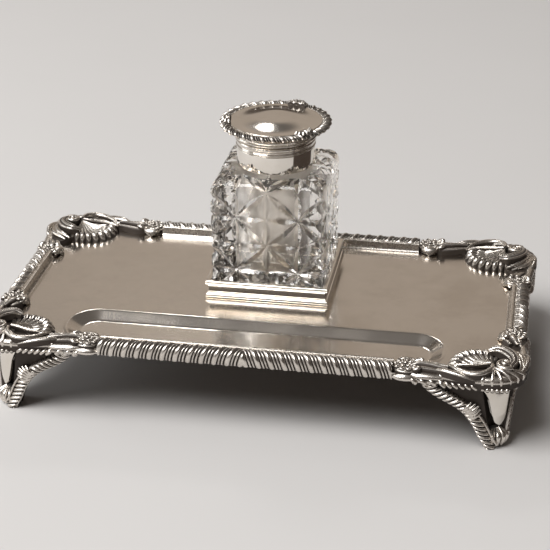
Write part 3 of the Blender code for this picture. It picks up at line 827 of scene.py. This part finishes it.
def addFan(form, look):
    # The scalloped fan of flutes
    columns, rows = look["lobes"] * 16 + 1, 40
    share = np.linspace(0, 1, columns)[None, :]
    out = np.linspace(0.03, 1, rows)[:, None]
    angle = np.radians(look["fromAngle"] + (look["toAngle"] - look["fromAngle"]) * share)
    wave = np.abs(np.sin(math.pi * share * look["lobes"]))
    outline = np.interp(share, np.linspace(0, 1, len(look["reach"])), look["reach"])
    reach = outline * (0.93 + 0.07 * wave ** 0.7)
    radius = out * reach
    rise = np.interp(out, [0, 0.25, 0.5, 0.72, 0.84, 0.93, 1.0],
                     [look["hubHeight"], 3.2, look["bowl"], 2.9, look["rim"], 2.8, -0.1])
    groove = (1 - wave ** 0.6) * smoothStep(out, 0.02, 0.25)
    knob = bell(out, 0.80, 0.05) * (0.5 + 0.5 * np.cos(2 * math.pi * share * look["lobes"] * 2)) * 0.8
    gap = bell(out, 0.72, 0.035) * 0.5
    height = rise - groove * (0.55 + 0.5 * out) - knob - gap
    hollow = np.clip(groove * 1.3 + knob * 0.8 + gap * 1.2 + 0.8 * smoothStep(out, 0.93, 1.0), 0, 1)
    hubA, hubB = look["hub"]
    top = np.stack([hubA + radius * np.cos(angle), hubB + radius * np.sin(angle), height], -1)
    under = top.copy()
    under[..., 2] = -0.4
    block = np.concatenate([top, under[:, ::-1]], axis=1)
    form.skin(block, np.concatenate([hollow, np.ones_like(hollow)], axis=1))


def addEye(form):
    # The pointed hollow under the flutes, with its smooth lip
    lower = [(28.0, 7.2, 2.6), (25.2, 3.4, 3.2), (21.9, 0.9, 3.3), (18.4, -0.2, 3.4), (15.0, 0.3, 3.7),
             (12.3, 2.8, 4.2), (11.6, 6.2, 4.4)]
    addStrand(form, lower, 44, (0.8, 1.6, 2.3, 2.5, 2.3, 1.9, 1.3), (0.5, 0.8, 1.0, 1.1, 1.1, 1.0, 0.7),
              bed=1.8)
    upper = [(27.4, 7.4, 2.4), (23.4, 6.3, 3.0), (19.2, 6.4, 3.4), (15.6, 7.0, 3.9), (12.4, 7.2, 4.5)]
    addStrand(form, upper, 40, (0.5, 1.0, 1.2, 1.4, 1.2), (0.5, 0.8, 0.9, 0.9, 0.7), bed=1.2)
    floor = [(27.2, 6.6), (23.5, 6.2), (19.0, 6.4), (14.5, 6.9), (12.2, 5.2), (13.5, 2.2), (17.0, 0.4),
             (21.5, 1.3), (25.0, 4.0)]
    addPlate(form, floor, -0.5, 1.9, 0.9)
    tongue = [(23.2, 4.2, 1.7), (19.0, 3.2, 1.9), (15.0, 3.6, 2.2)]
    addStrand(form, tongue, 20, (0.4, 2.2, 0.8), (0.3, 0.9, 0.5))
    for a, b in ((14.6, 2.9), (16.4, 2.5), (13.9, 4.4)):
        addBead(form, (a, b, 2.5), 0.55)


def addVolute(form):
    # The strap leaf that curls down into a spiral beside the hub
    strap = [(13.6, 17.2, 4.2), (10.6, 17.6, 5.0), (7.2, 15.8, 5.1), (4.7, 12.4, 4.9), (4.1, 8.8, 4.6),
             (5.2, 5.9, 4.3)]
    addStrand(form, strap, 50, (2.2, 4.6, 4.9, 4.0, 3.0, 2.2), (0.7, 1.2, 1.3, 1.2, 1.1, 0.9), ribs=2,
              ribDepth=0.45, bed=2.2)
    eye = (7.4, 7.6)
    scroll = spiral(eye, 222, 1.55, 3.5, 0.7, 4.0, 1.0)
    addBlade(form, scroll, (2.0, 1.7, 1.3, 0.9), (1.0, 1.0, 0.9, 0.8), bed=1.8)
    addBead(form, (*eye, 4.6), (0.8, 0.8, 0.7))
    for shift, height in ((0.0, 3.0), (2.1, 2.2)):
        leaf = [(10.4 - shift, 22.6, height - 0.6), (7.6 - shift, 21.0, height),
                (4.6 - shift, 18.6, height + 0.2), (2.6 - shift * 0.7, 14.6, height),
                (1.6 - shift * 0.5, 10.0, height - 0.4), (2.0, 6.4, height - 0.5)]
        addStrand(form, leaf, 40, (1.0, 1.8, 2.2, 2.0, 1.5, 0.9), (0.5, 0.9, 1.1, 1.1, 0.9, 0.5), bed=1.4)
    curl = [(1.6, 21.4, 0.8), (-0.2, 18.8, 1.8), (-0.9, 15.2, 2.4), (-0.6, 11.2, 2.2), (0.8, 7.6, 1.6),
            (3.4, 4.6, 1.6)]
    addStrand(form, curl, 40, (0.8, 1.7, 2.0, 2.0, 1.8, 1.0), (0.6, 1.2, 1.5, 1.4, 1.1, 0.6), bed=1.6)


def addStems(form):
    # Leaf stems that fan down over the corner to a row of beads
    hubA, hubB = 11.2, 4.6
    tips = ((17.8, -1.2, 1.5), (14.8, -1.4, 1.6), (11.4, -1.3, 1.6), (8.2, -0.7, 1.6), (5.0, 0.8, 1.7),
            (2.4, 2.6, 1.7), (0.6, 5.0, 1.6))
    for a, b, width in tips:
        stem = [(hubA, hubB, 4.0), ((hubA + a) / 2, (hubB + b) / 2 + 0.5, 3.4), (a, b + 1.0, 1.6),
                (a, b + 0.4, -0.4)]
        addStrand(form, stem, 22, (0.8, width * 0.8, width, width * 0.7), (0.6, 0.8, 0.9, 0.6), bed=1.6)
    for number in range(7):
        a = 16.4 - number * 1.75
        addBead(form, (a, -1.0 + 0.027 * (a - 11) ** 2, -2.4), (0.85, 0.8, 0.95))


def addCornerLip(form):
    # The edge that carries the border's outline round the corner, with small leaf curls beneath
    lip = [(30.5, 1.6, 0.2), (24.0, 0.9, 0.1), (17.0, 0.7, 0.0), (11.0, 1.0, 0.0), (6.2, 2.7, 0.0),
           (3.0, 5.8, 0.0), (1.2, 10.6, 0.0), (0.7, 16.5, 0.0), (1.1, 22.5, 0.1), (1.7, 28.5, 0.2)]
    addStrand(form, lip, 90, (3.2, 3.8, 4.2, 4.6, 5.0, 5.0, 4.6, 4.2, 3.8, 3.2),
              (1.8, 2.2, 2.4, 2.4, 2.4, 2.4, 2.4, 2.4, 2.2, 1.8), bed=1.05)
    bed = [(30.0, 3.0), (27.5, 8.0), (20.0, 16.0), (12.0, 18.0), (8.0, 24.0), (3.0, 28.0), (1.6, 27.0),
           (0.9, 17.0), (1.4, 10.0), (3.4, 5.6), (6.6, 2.8), (11.0, 1.2), (18.0, 0.9), (28.0, 1.4)]
    addPlate(form, bed, -0.8, 1.5)
    curl = ((1.5, -0.5), (0.6, -1.1), (-0.6, -2.0), (-0.9, -2.6), (0.0, -2.3))  # (ahead, height)
    for number in range(6):
        a, b = 29.4 - number * 2.3, 27.4 - number * 2.4
        longSide = [(a + ahead, inset, height)
                    for (ahead, height), inset in zip(curl, (0.4, -0.9, -1.1, -0.2, 0.2))]
        shortSide = [(inset, b + ahead, height)
                     for (ahead, height), inset in zip(curl, (0.6, -0.7, -0.9, -0.1, 0.3))]
        for knots, up in ((longSide, (0.3, -1, 0.2)), (shortSide, (-1, 0.3, 0.2))):
            addStrand(form, knots, 18, (0.6, 1.2, 1.2, 0.9, 0.5), (0.4, 0.7, 0.7, 0.6, 0.4), up=up)
    blade = [(31.8, 2.4, 2.4), (28.8, 1.4, 2.7), (25.0, 0.3, 2.5), (21.0, -0.7, 1.9), (17.4, -1.0, 1.0)]
    addStrand(form, blade, 40, (1.6, 2.6, 3.0, 2.4, 1.0), (0.8, 1.2, 1.3, 1.1, 0.5), bed=1.6, tilt=-16)


def makeShells(look):
    for end, signY in (("front", -1), ("back", 1)):
        for side, signX in (("left", -1), ("right", 1)):
            form = Form()
            addCornerLip(form)
            addFan(form, look)
            addEye(form)
            addVolute(form)
            addStems(form)
            piece = placed(form, signX, signY).build("cornerShell_%s_%s" % (end, side), borderSilver, 65)
            settle(piece, "stand", "cast_silver", "corner_shell_%s_%s" % (end, side))


makeShells(shell)
print("corner shells made")


floret = dict(radius=4.5, middle=4.6, outerPetals=9, innerPetals=5, height=3.6, lobeReach=11.3)


def addFloret(form, look, at):
    # A rosette of small cupped petals, with a smooth pointed lobe towards the field.
    # Laid out as (along, in, height)
    middle, radius, top = look["middle"], look["radius"], look["height"]
    ring = np.linspace(0, tau, 40, endpoint=False)
    rows = []
    for reach, height in ((0.94, -0.8), (1.0, 1.2), (0.96, 2.1), (0.8, 2.6), (0.2, 2.9)):
        along = at + radius * reach * np.cos(ring)
        rows.append(np.column_stack([along, middle + radius * 0.98 * reach * np.sin(ring),
                                     np.full(40, height)]))
    form.skin(np.array(rows), np.array([0.5, 0.2, 0.45, 0.66, 0.7])[:, None])
    for petals, reach, size in ((look["outerPetals"], 0.78, 1.5), (look["innerPetals"], 0.36, 1.15)):
        for number in range(petals):
            angle = tau * (number + 0.3) / petals
            centre = (at + radius * reach * math.cos(angle), middle + radius * reach * math.sin(angle))
            petal = spiral(centre, math.degrees(angle) - 150, 0.84, size * 0.56, size * 0.52,
                           top - 0.5 - 0.5 * reach, count=18)
            addBlade(form, petal, (0.45, 0.7, 0.7, 0.45), (0.35, 0.6, 0.6, 0.35), bed=1.4)
    addBead(form, (at, middle, top - 0.1), (0.7, 0.7, 0.5))
    rim = spiral((at, middle), 0, 0.98, radius * 0.985, radius * 0.985, 1.7, count=60)
    addBlade(form, rim, (0.8, 0.8), (0.55, 0.55), bed=2.4)
    lobe = [(at, middle + radius - 1.4, 2.2), (at, middle + radius + 0.6, 1.9), (at, look["lobeReach"], 0.1)]
    addStrand(form, lobe, 30, (7.4, 7.2, 6.4, 5.0, 3.2, 0.3), (0.9, 1.1, 1.1, 0.9, 0.6, 0.05), bed=1.2,
              edge=0.25)
    lip = [(at - 4.6, 0.9, -0.6), (at - 2.4, 0.2, -0.4), (at, 0.0, -0.3), (at + 2.4, 0.2, -0.4),
           (at + 4.6, 0.9, -0.6)]
    addStrand(form, lip, 24, (1.2, 2.6, 3.0, 2.6, 1.2), (0.6, 1.0, 1.2, 1.0, 0.6), up=(0, -1, 0.9), bed=0.8)


def addLeaf(form, at, end):
    # Curled tips next to the floret, then the long blades that run to the corner
    run = end - at
    for start, tip, middle in ((0.16, 0.38, 7.6), (0.18, 0.34, 1.6)):
        turnOut = 1 if middle > 4 else -1
        curl = [(at + run * start, middle - turnOut, 1.8),
                (at + run * (start + tip) / 2, middle + 0.5 * turnOut, 2.9), (at + run * tip, middle, 3.3),
                (at + run * (tip - 0.03), middle - 1.2 * turnOut, 2.6)]
        addStrand(form, curl, 22, (1.4, 2.2, 1.9, 0.9), (0.6, 0.8, 0.8, 0.5), bed=1.4)
    for blade in (
            [(0.12, 4.6, 2.3), (0.30, 5.6, 3.0), (0.55, 5.2, 3.1), (0.80, 4.2, 2.9), (1.03, 3.4, 2.5)],
            [(0.14, 2.8, 1.8), (0.35, 3.0, 2.3), (0.60, 2.9, 2.2), (0.85, 2.4, 1.9), (1.03, 2.2, 1.6)],
            [(0.16, 7.2, 1.3), (0.40, 7.8, 1.7), (0.70, 7.2, 2.0), (1.03, 6.0, 2.2)]):
        knots = [(at + run * share, middle, height) for share, middle, height in blade]
        addStrand(form, knots, 34, (2.0, 3.0, 2.9, 2.4, 1.6), (0.7, 0.9, 0.9, 0.9, 0.7), ribs=1,
                  ribDepth=0.25, bed=2.2)
    lower = [(at + run * share, middle, height) for share, middle, height in
             ((0.12, 1.6, 0.6), (0.35, 0.7, 0.6), (0.60, 0.5, 0.5), (0.85, 0.7, 0.3), (1.03, 1.0, 0.2))]
    addStrand(form, lower, 34, (2.4, 3.0, 2.8, 2.4, 1.8), (0.8, 1.0, 1.0, 0.9, 0.7), up=(0, -0.6, 1), bed=1.6)
    addPlate(form, [(at, 1.0), (end, 1.6), (end, 7.2), (at, 8.2)], -0.6, 1.5, 0.8)
    skirt = [(at + run * 0.1, 0.9, -1.3), (at + run * 0.5, 0.6, -1.5), (end, 0.9, -1.3)]
    # The skirt under the leaves gets painted shade
    addStrand(form, skirt, 20, (1.6, 1.8, 1.6), (0.8, 1.0, 0.8), up=(0, -1, 0.3), bed=0.9, shade=0.3)
    for number in range(4):
        spot = at + run * (0.22 + 0.23 * number)
        hook = [(spot - 1.3, 0.2, -0.3), (spot - 0.2, -0.6, -0.9), (spot + 0.9, -0.5, -1.8),
                (spot + 0.4, 0.1, -2.5), (spot - 0.4, 0.3, -2.0)]
        addStrand(form, hook, 18, (0.7, 1.4, 1.4, 1.0, 0.6), (0.5, 0.8, 0.8, 0.6, 0.4), up=(0, -1, 0.2))


def makeFlorets(look):
    # The floret sits just past the end of the strokes, and its leaves run on to the corner
    for direction in ("front", "right", "back", "left"):
        for side in ("left", "right"):
            node = "floret_leaf_%s_%s" % (direction, side)
            low, high = boxOf(node)
            axis = 0 if direction in ("front", "back") else 1
            nearStrokes = min(abs(low[axis]), abs(high[axis]))
            nearCorner = max(abs(low[axis]), abs(high[axis]))
            at, end = nearStrokes + look["radius"] + 0.1, nearCorner + 0.5
            form = Form()
            addFloret(form, look, at)
            addLeaf(form, at, end)
            middle = (low + high) / 2
            points = []
            for part in form.points:
                along = part[:, 0] * (1 if middle[axis] > 0 else -1)
                inset, height = part[:, 1], fieldZ + part[:, 2]
                if axis == 0:
                    place = [along, math.copysign(1, middle[1]) * (halfDepth - inset), height]
                else:
                    place = [math.copysign(1, middle[0]) * (halfLength - inset), along, height]
                points.append(np.column_stack(place))
            form.points = points
            piece = form.build("floretLeaf_%s_%s" % (direction, side), borderSilver, 65)
            settle(piece, "stand", "cast_silver", node)


makeFlorets(floret)
print("florets and leaves made")


foot = dict(reachX=38.5, reachY=29.0, toe=12.4, bandWidth=4.4, bandLift=2.1, strokes=18, thickness=1.6,
            top=-1.4, drop=30.3, faceTop=2.0, faceToe=5.3, chamferTop=13.6, chamferToe=5.6,
            clasps=(0.50, 0.66), turnOut=1.6, bandSlant=1.5,
            sweepHeights=(-30.3, -28.8, -24.2, -18.9, -13.8, -10.2, -8.0, -5.0, -1.4),
            sweepShares=(0.0, 0.05, 0.14, 0.23, 0.36, 0.52, 0.70, 0.88, 1.0), heart=9.5, petals=7)
shield = dict(top=-2.0, length=19.7, inset=9.2, lean=1.4, bulge=0.7, thickness=0.9,
              shares=(0, 0.127, 0.28, 0.41, 0.685, 0.89, 0.97, 1.0),
              halves=(9.3, 8.2, 6.2, 5.0, 3.9, 2.7, 1.5, 0.3))


def addFlange(form, look, hand, reach):
    # One of the foot's two wings:
    # u along the tray's side from the corner, b the way the face looks, z down to the toe
    top, bottom = look["top"], -look["drop"]
    share = np.linspace(0, 1, 60)
    height = bottom + (top - bottom) * (1 - (1 - share) ** 1.15)
    sweep = np.interp(height, look["sweepHeights"], look["sweepShares"])
    sweep = np.convolve(np.pad(sweep, 4, mode="edge"), np.ones(9) / 9, mode="valid")
    edge = look["toe"] + (reach - look["toe"]) * sweep
    down = (top - height) / (top - bottom)
    face = look["faceTop"] + (look["faceToe"] - look["faceTop"]) * down
    chamfer = look["chamferTop"] + (look["chamferToe"] - look["chamferTop"]) * down
    out = (0, -1, 0) if hand == 0 else (-1, 0, 0)

    def onWing(u, b, z):
        return np.stack([u, b, z] if hand == 0 else [b, u, z], -1)

    front = face + 0.6
    back = face + look["thickness"] + 0.8
    outer, inner = edge - 0.6, np.minimum(face + chamfer - 0.2, edge - 2.0)
    plate = [onWing(outer, front, height), onWing(inner, front, height), onWing(inner, back, height),
             onWing(outer, back, height)]
    form.skin(np.stack(plate, 1), 0.95)
    if hand == 1:  # this wing turns a little towards the front
        face = face + look["turnOut"]
    path = onWing(edge - look["bandWidth"] / 2, face, height)
    steps = 420
    where = np.linspace(0, 1, steps)
    fine = np.stack([np.interp(where, share, path[:, i]) for i in range(3)], -1)
    along = np.gradient(fine, axis=0)
    along /= np.linalg.norm(along, axis=1)[:, None]
    outward = np.broadcast_to(np.array(out, float), fine.shape)
    across = np.cross(along, outward)
    across /= np.linalg.norm(across, axis=1)[:, None]
    angle = np.linspace(0, math.pi, 21)
    side = np.cos(angle)
    length = np.concatenate([[0], np.cumsum(np.linalg.norm(np.diff(fine, axis=0), axis=1))])
    pitch = length[-1] / look["strokes"]
    slant = -1.0 if hand == 0 else 1.0
    phase = (length[:, None] + slant * side[None] * look["bandSlant"]) / pitch
    crest = np.abs(np.sin(math.pi * phase)) ** 0.6
    lift = np.sin(angle)[None] ** 0.7 * (0.2 + 0.8 * crest) * look["bandLift"]
    half = look["bandWidth"] / 2 * (0.8 + 0.2 * smoothStep(where, 0.0, 0.2))
    places = (fine[:, None] + across[:, None] * side[None, :, None] * half[:, None, None]
              + outward[:, None] * lift[:, :, None])
    under = (fine[:, None] + across[:, None] * np.array([-0.95, 0.95])[None, :, None] * half[:, None, None]
             - outward[:, None] * 1.8)
    hollow = np.clip((1 - crest) * 1.7, 0, 1)
    form.skin(np.concatenate([places, under], 1), np.concatenate([hollow, np.ones((steps, 2))], 1))
    addBlade(form, onWing(edge - 0.15, face - 0.1, height), (0.7, 0.7, 0.7), (0.9, 0.9, 0.9), up=out, bed=1.2)
    fillet = onWing(edge - look["bandWidth"] - 0.75, face - 0.3, height)[3:48]
    addBlade(form, fillet, (0.9, 0.9, 1.0, 0.9), (0.9, 1.0, 1.0, 0.8), up=out, bed=1.2)
    clasp = look["clasps"][hand]
    middle = np.array([np.interp(clasp, share, path[:, i]) for i in range(3)])
    lengthways = np.array([np.interp(clasp, where, along[:, i]) for i in range(3)])
    sideways = np.cross(lengthways, np.array(out, float))
    inwards = -np.sign(sideways[hand]) * sideways
    for lobe, spreadOut in ((-2, 0.85), (-1, 1.05), (0, 1.15), (1, 1.05), (2, 0.85)):
        start = middle - inwards * 1.9 + lengthways * lobe * 0.9
        end = middle + inwards * 3.9 * spreadOut + lengthways * lobe * 1.45
        knots = [start, (start + end) / 2 + np.array(out) * 1.5, end + np.array(out) * 0.5]
        addStrand(form, knots, 18, (1.0, 1.8, 1.7, 0.8), (0.7, 1.1, 1.0, 0.6), up=out, bed=1.8)
    curl = spiral((0, 0), 20, 1.1, 2.4, 0.6, 0.0, count=26)
    swirl = onWing(edge[-1] - 3.0 + curl[:, 0], np.full(26, face[-1] - 0.9), height[-1] - 0.6 + curl[:, 1])
    addBlade(form, swirl, (1.3, 1.2, 0.9), (1.1, 1.0, 0.8), up=out, bed=1.4)


def addShield(form, look):
    # The plain polished shield across the corner, narrowing to a rounded point
    rows = []
    outward = np.array([-1, -1, 0]) / math.sqrt(2)
    sideways = np.array([1, -1, 0]) / math.sqrt(2)
    across = np.linspace(-1, 1, 17)
    for share in np.linspace(0, 1, 34):
        half = np.interp(share, look["shares"], look["halves"])
        inset = look["inset"] - share * look["lean"]
        centre = np.array([inset, inset, look["top"] - share * look["length"]])
        arch = np.sqrt(np.clip(1 - across ** 2, 0, 1))
        bulge = look["bulge"] * arch * min(1.0, 4 * (1 - share) + 0.15)
        front = centre + sideways * (across * half)[:, None] + outward * bulge[:, None]
        inwards = outward * look["thickness"]
        back = np.array([centre + sideways * half - inwards, centre - sideways * half - inwards])
        rows.append(np.concatenate([front, back]))
    form.skin(np.array(rows))


def addToe(form, look):
    # The recess behind the shield, and the leafy knob that the foot stands on
    recess = [(11.4, 11.4, -1.6), (11.2, 11.2, -14.0), (10.8, 10.8, -25.0), (10.2, 10.2, -look["drop"] + 0.6)]
    # The recess is darkened all over with shade=1.0: painted shade
    addStrand(form, recess, 30, (15.5, 11.5, 8.6, 7.0), (0.5, 0.5, 0.5, 0.5), up=(-1, -1, 0), bed=4.0,
              shade=1.0)
    addBead(form, (9.6, 9.6, -26.7), (4.0, 4.0, 3.3), 0.55)
    heart = look["heart"]
    for number in range(look["petals"]):
        angle = math.radians(-135 + (number - 3) * 27)
        out = (math.cos(angle), math.sin(angle), 0)
        knots = [(heart + reach * out[0], heart + reach * out[1], height) for reach, height in
                 ((1.6, -22.8 - 0.5 * abs(number - 3)), (4.5, -25.8), (3.6, -look["drop"] + 1.0))]
        addStrand(form, knots, 18, (0.8, 1.9, 1.5), (0.6, 1.1, 0.8), up=out, bed=1.4)


def makeFeet(footLook, shieldLook):
    for end, signY in (("front", -1), ("back", 1)):
        for side, signX in (("left", -1), ("right", 1)):
            node = "foot_%s_%s" % (end, side)
            form = Form()
            addFlange(form, footLook, 0, footLook["reachX"])
            addFlange(form, footLook, 1, footLook["reachY"])
            addToe(form, footLook)
            piece = placed(form, signX, signY).build("footCasting_%s_%s" % (end, side), footSilver, 65)
            settle(piece, "stand", "cast_silver", node)
            plate = Form()
            addShield(plate, shieldLook)
            piece = placed(plate, signX, signY).build("footShield_%s_%s" % (end, side), brightSilver, 40)
            settle(piece, "stand", "cast_silver", node)


makeFeet(foot, shield)
print("feet made")


lidShell = dict(radius=4.4, lobes=7)


def makeLidShells(look):
    for number in (1, 2, 3):
        low, high = boxOf("lid_shell_%d" % number)
        middle = (low + high) / 2 - (0, wellY, 0)
        angle = math.atan2(middle[1], middle[0])
        form = Form()
        share = np.linspace(0, 1, look["lobes"] * 12 + 1)[None, :]
        out = np.linspace(0.04, 1, 18)[:, None]
        wave = np.abs(np.sin(math.pi * share * look["lobes"]))
        spreadAngle = np.radians(-100 + 200 * share)
        radius = out * look["radius"] * (0.88 + 0.12 * wave)
        rise = np.interp(out, [0, 0.4, 0.75, 1.0], [0.9, 0.4, 1.1, -0.3]) - (1 - wave ** 0.6) * 0.5
        hollow = np.clip((1 - wave ** 0.6) * 1.3 + 0.7 * smoothStep(out, 0.85, 1.0), 0, 1) + 0 * out
        centre = rimHigh[0] - look["radius"] + 0.2
        outwards, sideways = centre + radius * np.cos(spreadAngle) * 0.9, radius * np.sin(spreadAngle)
        level = rimHigh[2] - 0.1
        x = outwards * math.cos(angle) - sideways * math.sin(angle)
        y = outwards * math.sin(angle) + sideways * math.cos(angle) + wellY
        top = np.stack([x, y, level + rise], -1)
        under = top.copy()
        under[..., 2] = level - 1.6
        form.skin(np.concatenate([top, under[:, ::-1]], 1), np.concatenate([hollow, 0.4 * hollow], 1))
        piece = form.build("lidShell_%d" % number, lidCasting, 60)
        settle(piece, "lid", "cast_silver", "lid_shell_%d" % number)


makeLidShells(lidShell)
print("lid shells made")


# Cut-glass bottle

bottle = dict(corner=2.0, shoulder=5.5, neckRadius=13.4, bore=9.5, cavity=15.0, floor=9.0, shoulderGlass=6.0,
              bodyHeight=49.8, columnPitch=12.44, rowPitch=11.36, firstRow=0.7, cutDepth=1.15, cutSlope=1.4,
              notchPitch=7.9, notchDepth=2.3, notchSlope=1.5, notchReach=5.4, notches=6)


def blockRings(look, steps=8):
    half = (glassHigh[0] - glassLow[0]) / 2
    base, top = glassLow[2], glassLow[2] + look["bodyHeight"]
    rings = []
    for inset, height in [(0.6, base), (0.0, base + 0.6)] + [
            (look["shoulder"] * (1 - math.cos(angle)), top - look["shoulder"] * (1 - math.sin(angle)))
            for angle in np.radians(np.linspace(0, 90, steps))]:
        outline = roundedOutline(half - inset, half - inset, look["corner"], 4)
        rings.append(np.column_stack([outline[:, 0], outline[:, 1] + wellY, np.full(len(outline), height)]))
    return np.array(rings)


def cylinderRings(radius, low, high, sides=72):
    angle = np.linspace(0, tau, sides, endpoint=False)
    ring = np.column_stack([radius * np.cos(angle), wellY + radius * np.sin(angle), np.zeros(sides)])
    return np.array([ring + (0, 0, low), ring + (0, 0, high)])


def boatCut(form, track, outward, depth, slope):
    # A boat-shaped wedge along a track on the surface: pointed at both ends and deepest halfway
    track, outward = np.array(track, float), np.array(outward, float)
    outward = outward / np.linalg.norm(outward, axis=-1, keepdims=True)
    along = np.gradient(track, axis=0)
    across = np.cross(along, outward)
    across /= np.linalg.norm(across, axis=1)[:, None]
    share = np.linspace(-1.03, 1.03, len(track))[:, None]
    keel = depth * (1 - share * share)
    lift = 0.7
    half = (keel + lift) * slope
    form.skin(np.stack([track - outward * keel, track + outward * lift + across * half,
                        track + outward * lift - across * half], 1))


def turned(point, turn):
    # Turns a place drawn on the front face (across, out, up) round to another face
    angle = turn * math.pi / 2
    x, y, z = point[..., 0], -point[..., 1], point[..., 2]
    cos, sin = math.cos(angle), math.sin(angle)
    return np.stack([x * cos - y * sin, x * sin + y * cos, z], -1)


def cutPattern(look):
    # Star cuts on the four faces, dealt into groups whose wedges don't cross each other
    half = (glassHigh[0] - glassLow[0]) / 2
    top = glassLow[2] + look["bodyHeight"]
    pitchX, pitchZ, bend = look["columnPitch"], look["rowPitch"], look["shoulder"]
    groups = [Form() for _ in range(14)]
    rowZ = [glassLow[2] + look["firstRow"] + pitchZ * row for row in range(5)]
    centre = np.array([0, wellY, 0])

    def flatCut(turn, group, column, row, columnEnd, rowEnd, share=1.0):
        steps = np.linspace(0, 1, 13)[:, None]
        start = np.array([column * pitchX, half, rowZ[row]])
        end = np.array([columnEnd * pitchX, half, rowZ[rowEnd]])
        track = turned(start + (end - start) * steps, turn) + centre
        outward = np.broadcast_to(turned(np.array([0.0, 1.0, 0.0]), turn), track.shape)
        boatCut(groups[group], track, outward, look["cutDepth"] * share, look["cutSlope"])

    def shoulderCut(turn, group, column, columnEnd, share=1.0):
        # Runs from the top row over the rounded shoulder towards the neck
        first = math.asin((rowZ[4] - (top - bend)) / bend)
        length = np.linspace(0, bend * (math.pi / 2 - first) + 2.6, 15)
        angle = np.minimum(first + length / bend, math.pi / 2)
        beyond = np.maximum(length - bend * (math.pi / 2 - first), 0)
        across = pitchX * (column + (columnEnd - column) * np.linspace(0, 1, 15))
        out = half - bend * (1 - np.cos(angle)) - beyond
        track = np.stack([across, out, top - bend * (1 - np.sin(angle))], -1)
        outward = np.stack([0 * angle, np.cos(angle), np.sin(angle)], -1)
        boatCut(groups[group], turned(track, turn) + centre, turned(outward, turn), look["cutDepth"] * share,
                look["cutSlope"])

    for turn in range(4):
        for row in range(4):
            for column in (-2, -1, 0, 1):
                flatCut(turn, column % 2, column, row, column + 1, row, 0.9)
                if (column + row) % 2 == 0:
                    flatCut(turn, 4 + row % 2, column, row, column + 1, row + 1)
                else:
                    flatCut(turn, 6 + row % 2, column, row + 1, column + 1, row)
            for column in (-1, 0, 1):
                flatCut(turn, 2 + row % 2, column, row, column, row + 1, 0.9)
        shoulderCut(turn, 8, 0, -0.85, 1.3)
        shoulderCut(turn, 9, 0, 0.85, 1.3)
        shoulderCut(turn, 10, -1, -0.95)
        shoulderCut(turn, 10, 1, 0.95)
        shoulderCut(turn, 11, 0, 0, 0.8)
        shoulderCut(turn, 11, -1.72, -1.0, 1.1)
        shoulderCut(turn, 11, 1.72, 1.0, 1.1)
        diagonal = turned(np.array([1.0, 1.0, 0.0]) / math.sqrt(2), turn)
        tangent = np.array([-diagonal[1], diagonal[0], 0.0])
        for number in range(look["notches"]):
            height = top - 8.2 - look["notchPitch"] * number
            steps = np.linspace(-1, 1, 13)[:, None]
            corner = diagonal * (half * math.sqrt(2) - look["corner"] * 0.41) + centre + (0, 0, height)
            track = corner + tangent * steps * look["notchReach"]
            outward = np.broadcast_to(diagonal, track.shape)
            boatCut(groups[12 + number % 2], track, outward, look["notchDepth"], look["notchSlope"])
    return groups


def carve(target, tool, operation):
    modifier = target.modifiers.new(tool.name, "BOOLEAN")
    modifier.object = tool
    modifier.operation = operation
    modifier.solver = "MANIFOLD"


def makeBottle(look):
    block = Form()
    block.skin(blockRings(look))
    body = block.build("glassBottle", bottleGlass, 20)
    tools = []
    top = glassLow[2] + look["bodyHeight"]

    def use(name, form, operation):
        tool = form.build(name, bottleGlass, 20)
        tools.append(tool)
        carve(body, tool, operation)

    for number, group in enumerate(cutPattern(look)):
        use("starCut%d" % number, group, "DIFFERENCE")
    roof = top - look["shoulderGlass"]
    for name, radius, low, high, operation in (
            ("neck", look["neckRadius"], top - 4.0, glassHigh[2], "UNION"),
            ("cavity", look["cavity"], glassLow[2] + look["floor"], roof, "DIFFERENCE"),
            ("bore", look["bore"], roof - 1.0, glassHigh[2] + 2.0, "DIFFERENCE")):
        form = Form()
        form.skin(cylinderRings(radius, low, high))
        use(name, form, operation)
    bpy.context.view_layer.update()
    evaluated = body.evaluated_get(bpy.context.evaluated_depsgraph_get())
    mesh = bpy.data.meshes.new_from_object(evaluated)
    body.modifiers.clear()
    body.data = mesh
    for tool in tools:
        bpy.data.objects.remove(tool)
    mesh.shade_smooth()
    mesh.set_sharp_from_angle(angle=math.radians(14))
    mesh.materials.clear()
    for material in (bottleGlass, cutFacetGlass, insideGlass):
        mesh.materials.append(material)
    half = (glassHigh[0] - glassLow[0]) / 2
    for face in mesh.polygons:
        x, y, z = (part / mm for part in face.center)
        y -= wellY
        radius = math.hypot(x, y)
        inCavity = radius < look["cavity"] + 0.1 and z < top - 0.05
        inBore = radius < look["bore"] + 0.1
        onFace = max(abs(x), abs(y)) > half - 0.02
        if z > glassLow[2] + 1.0 and (inCavity or inBore):
            face.material_index = 2  # the ink's side
        else:
            face.material_index = 0 if onFace or z > top - look["shoulder"] else 1
    print("bottle faces:", len(mesh.polygons))
    return settle(body, "inkwell", "cut_glass", "glass_bottle")


makeBottle(bottle)
print("bottle made")


# Solids that keep their shape and get a better finish

keptFinish = {"neck_plaster": collarPlaster, "lid_liner": lidSilver, "hinge_knuckle_left": hingeSilver,
              "hinge_knuckle_right": hingeSilver, "lid_knuckle": hingeSilver, "hinge_pin": hingeSilver}
for node, material in keptFinish.items():
    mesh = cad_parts[node].data
    mesh.materials.clear()
    mesh.materials.append(material)
print("kept solids finished")
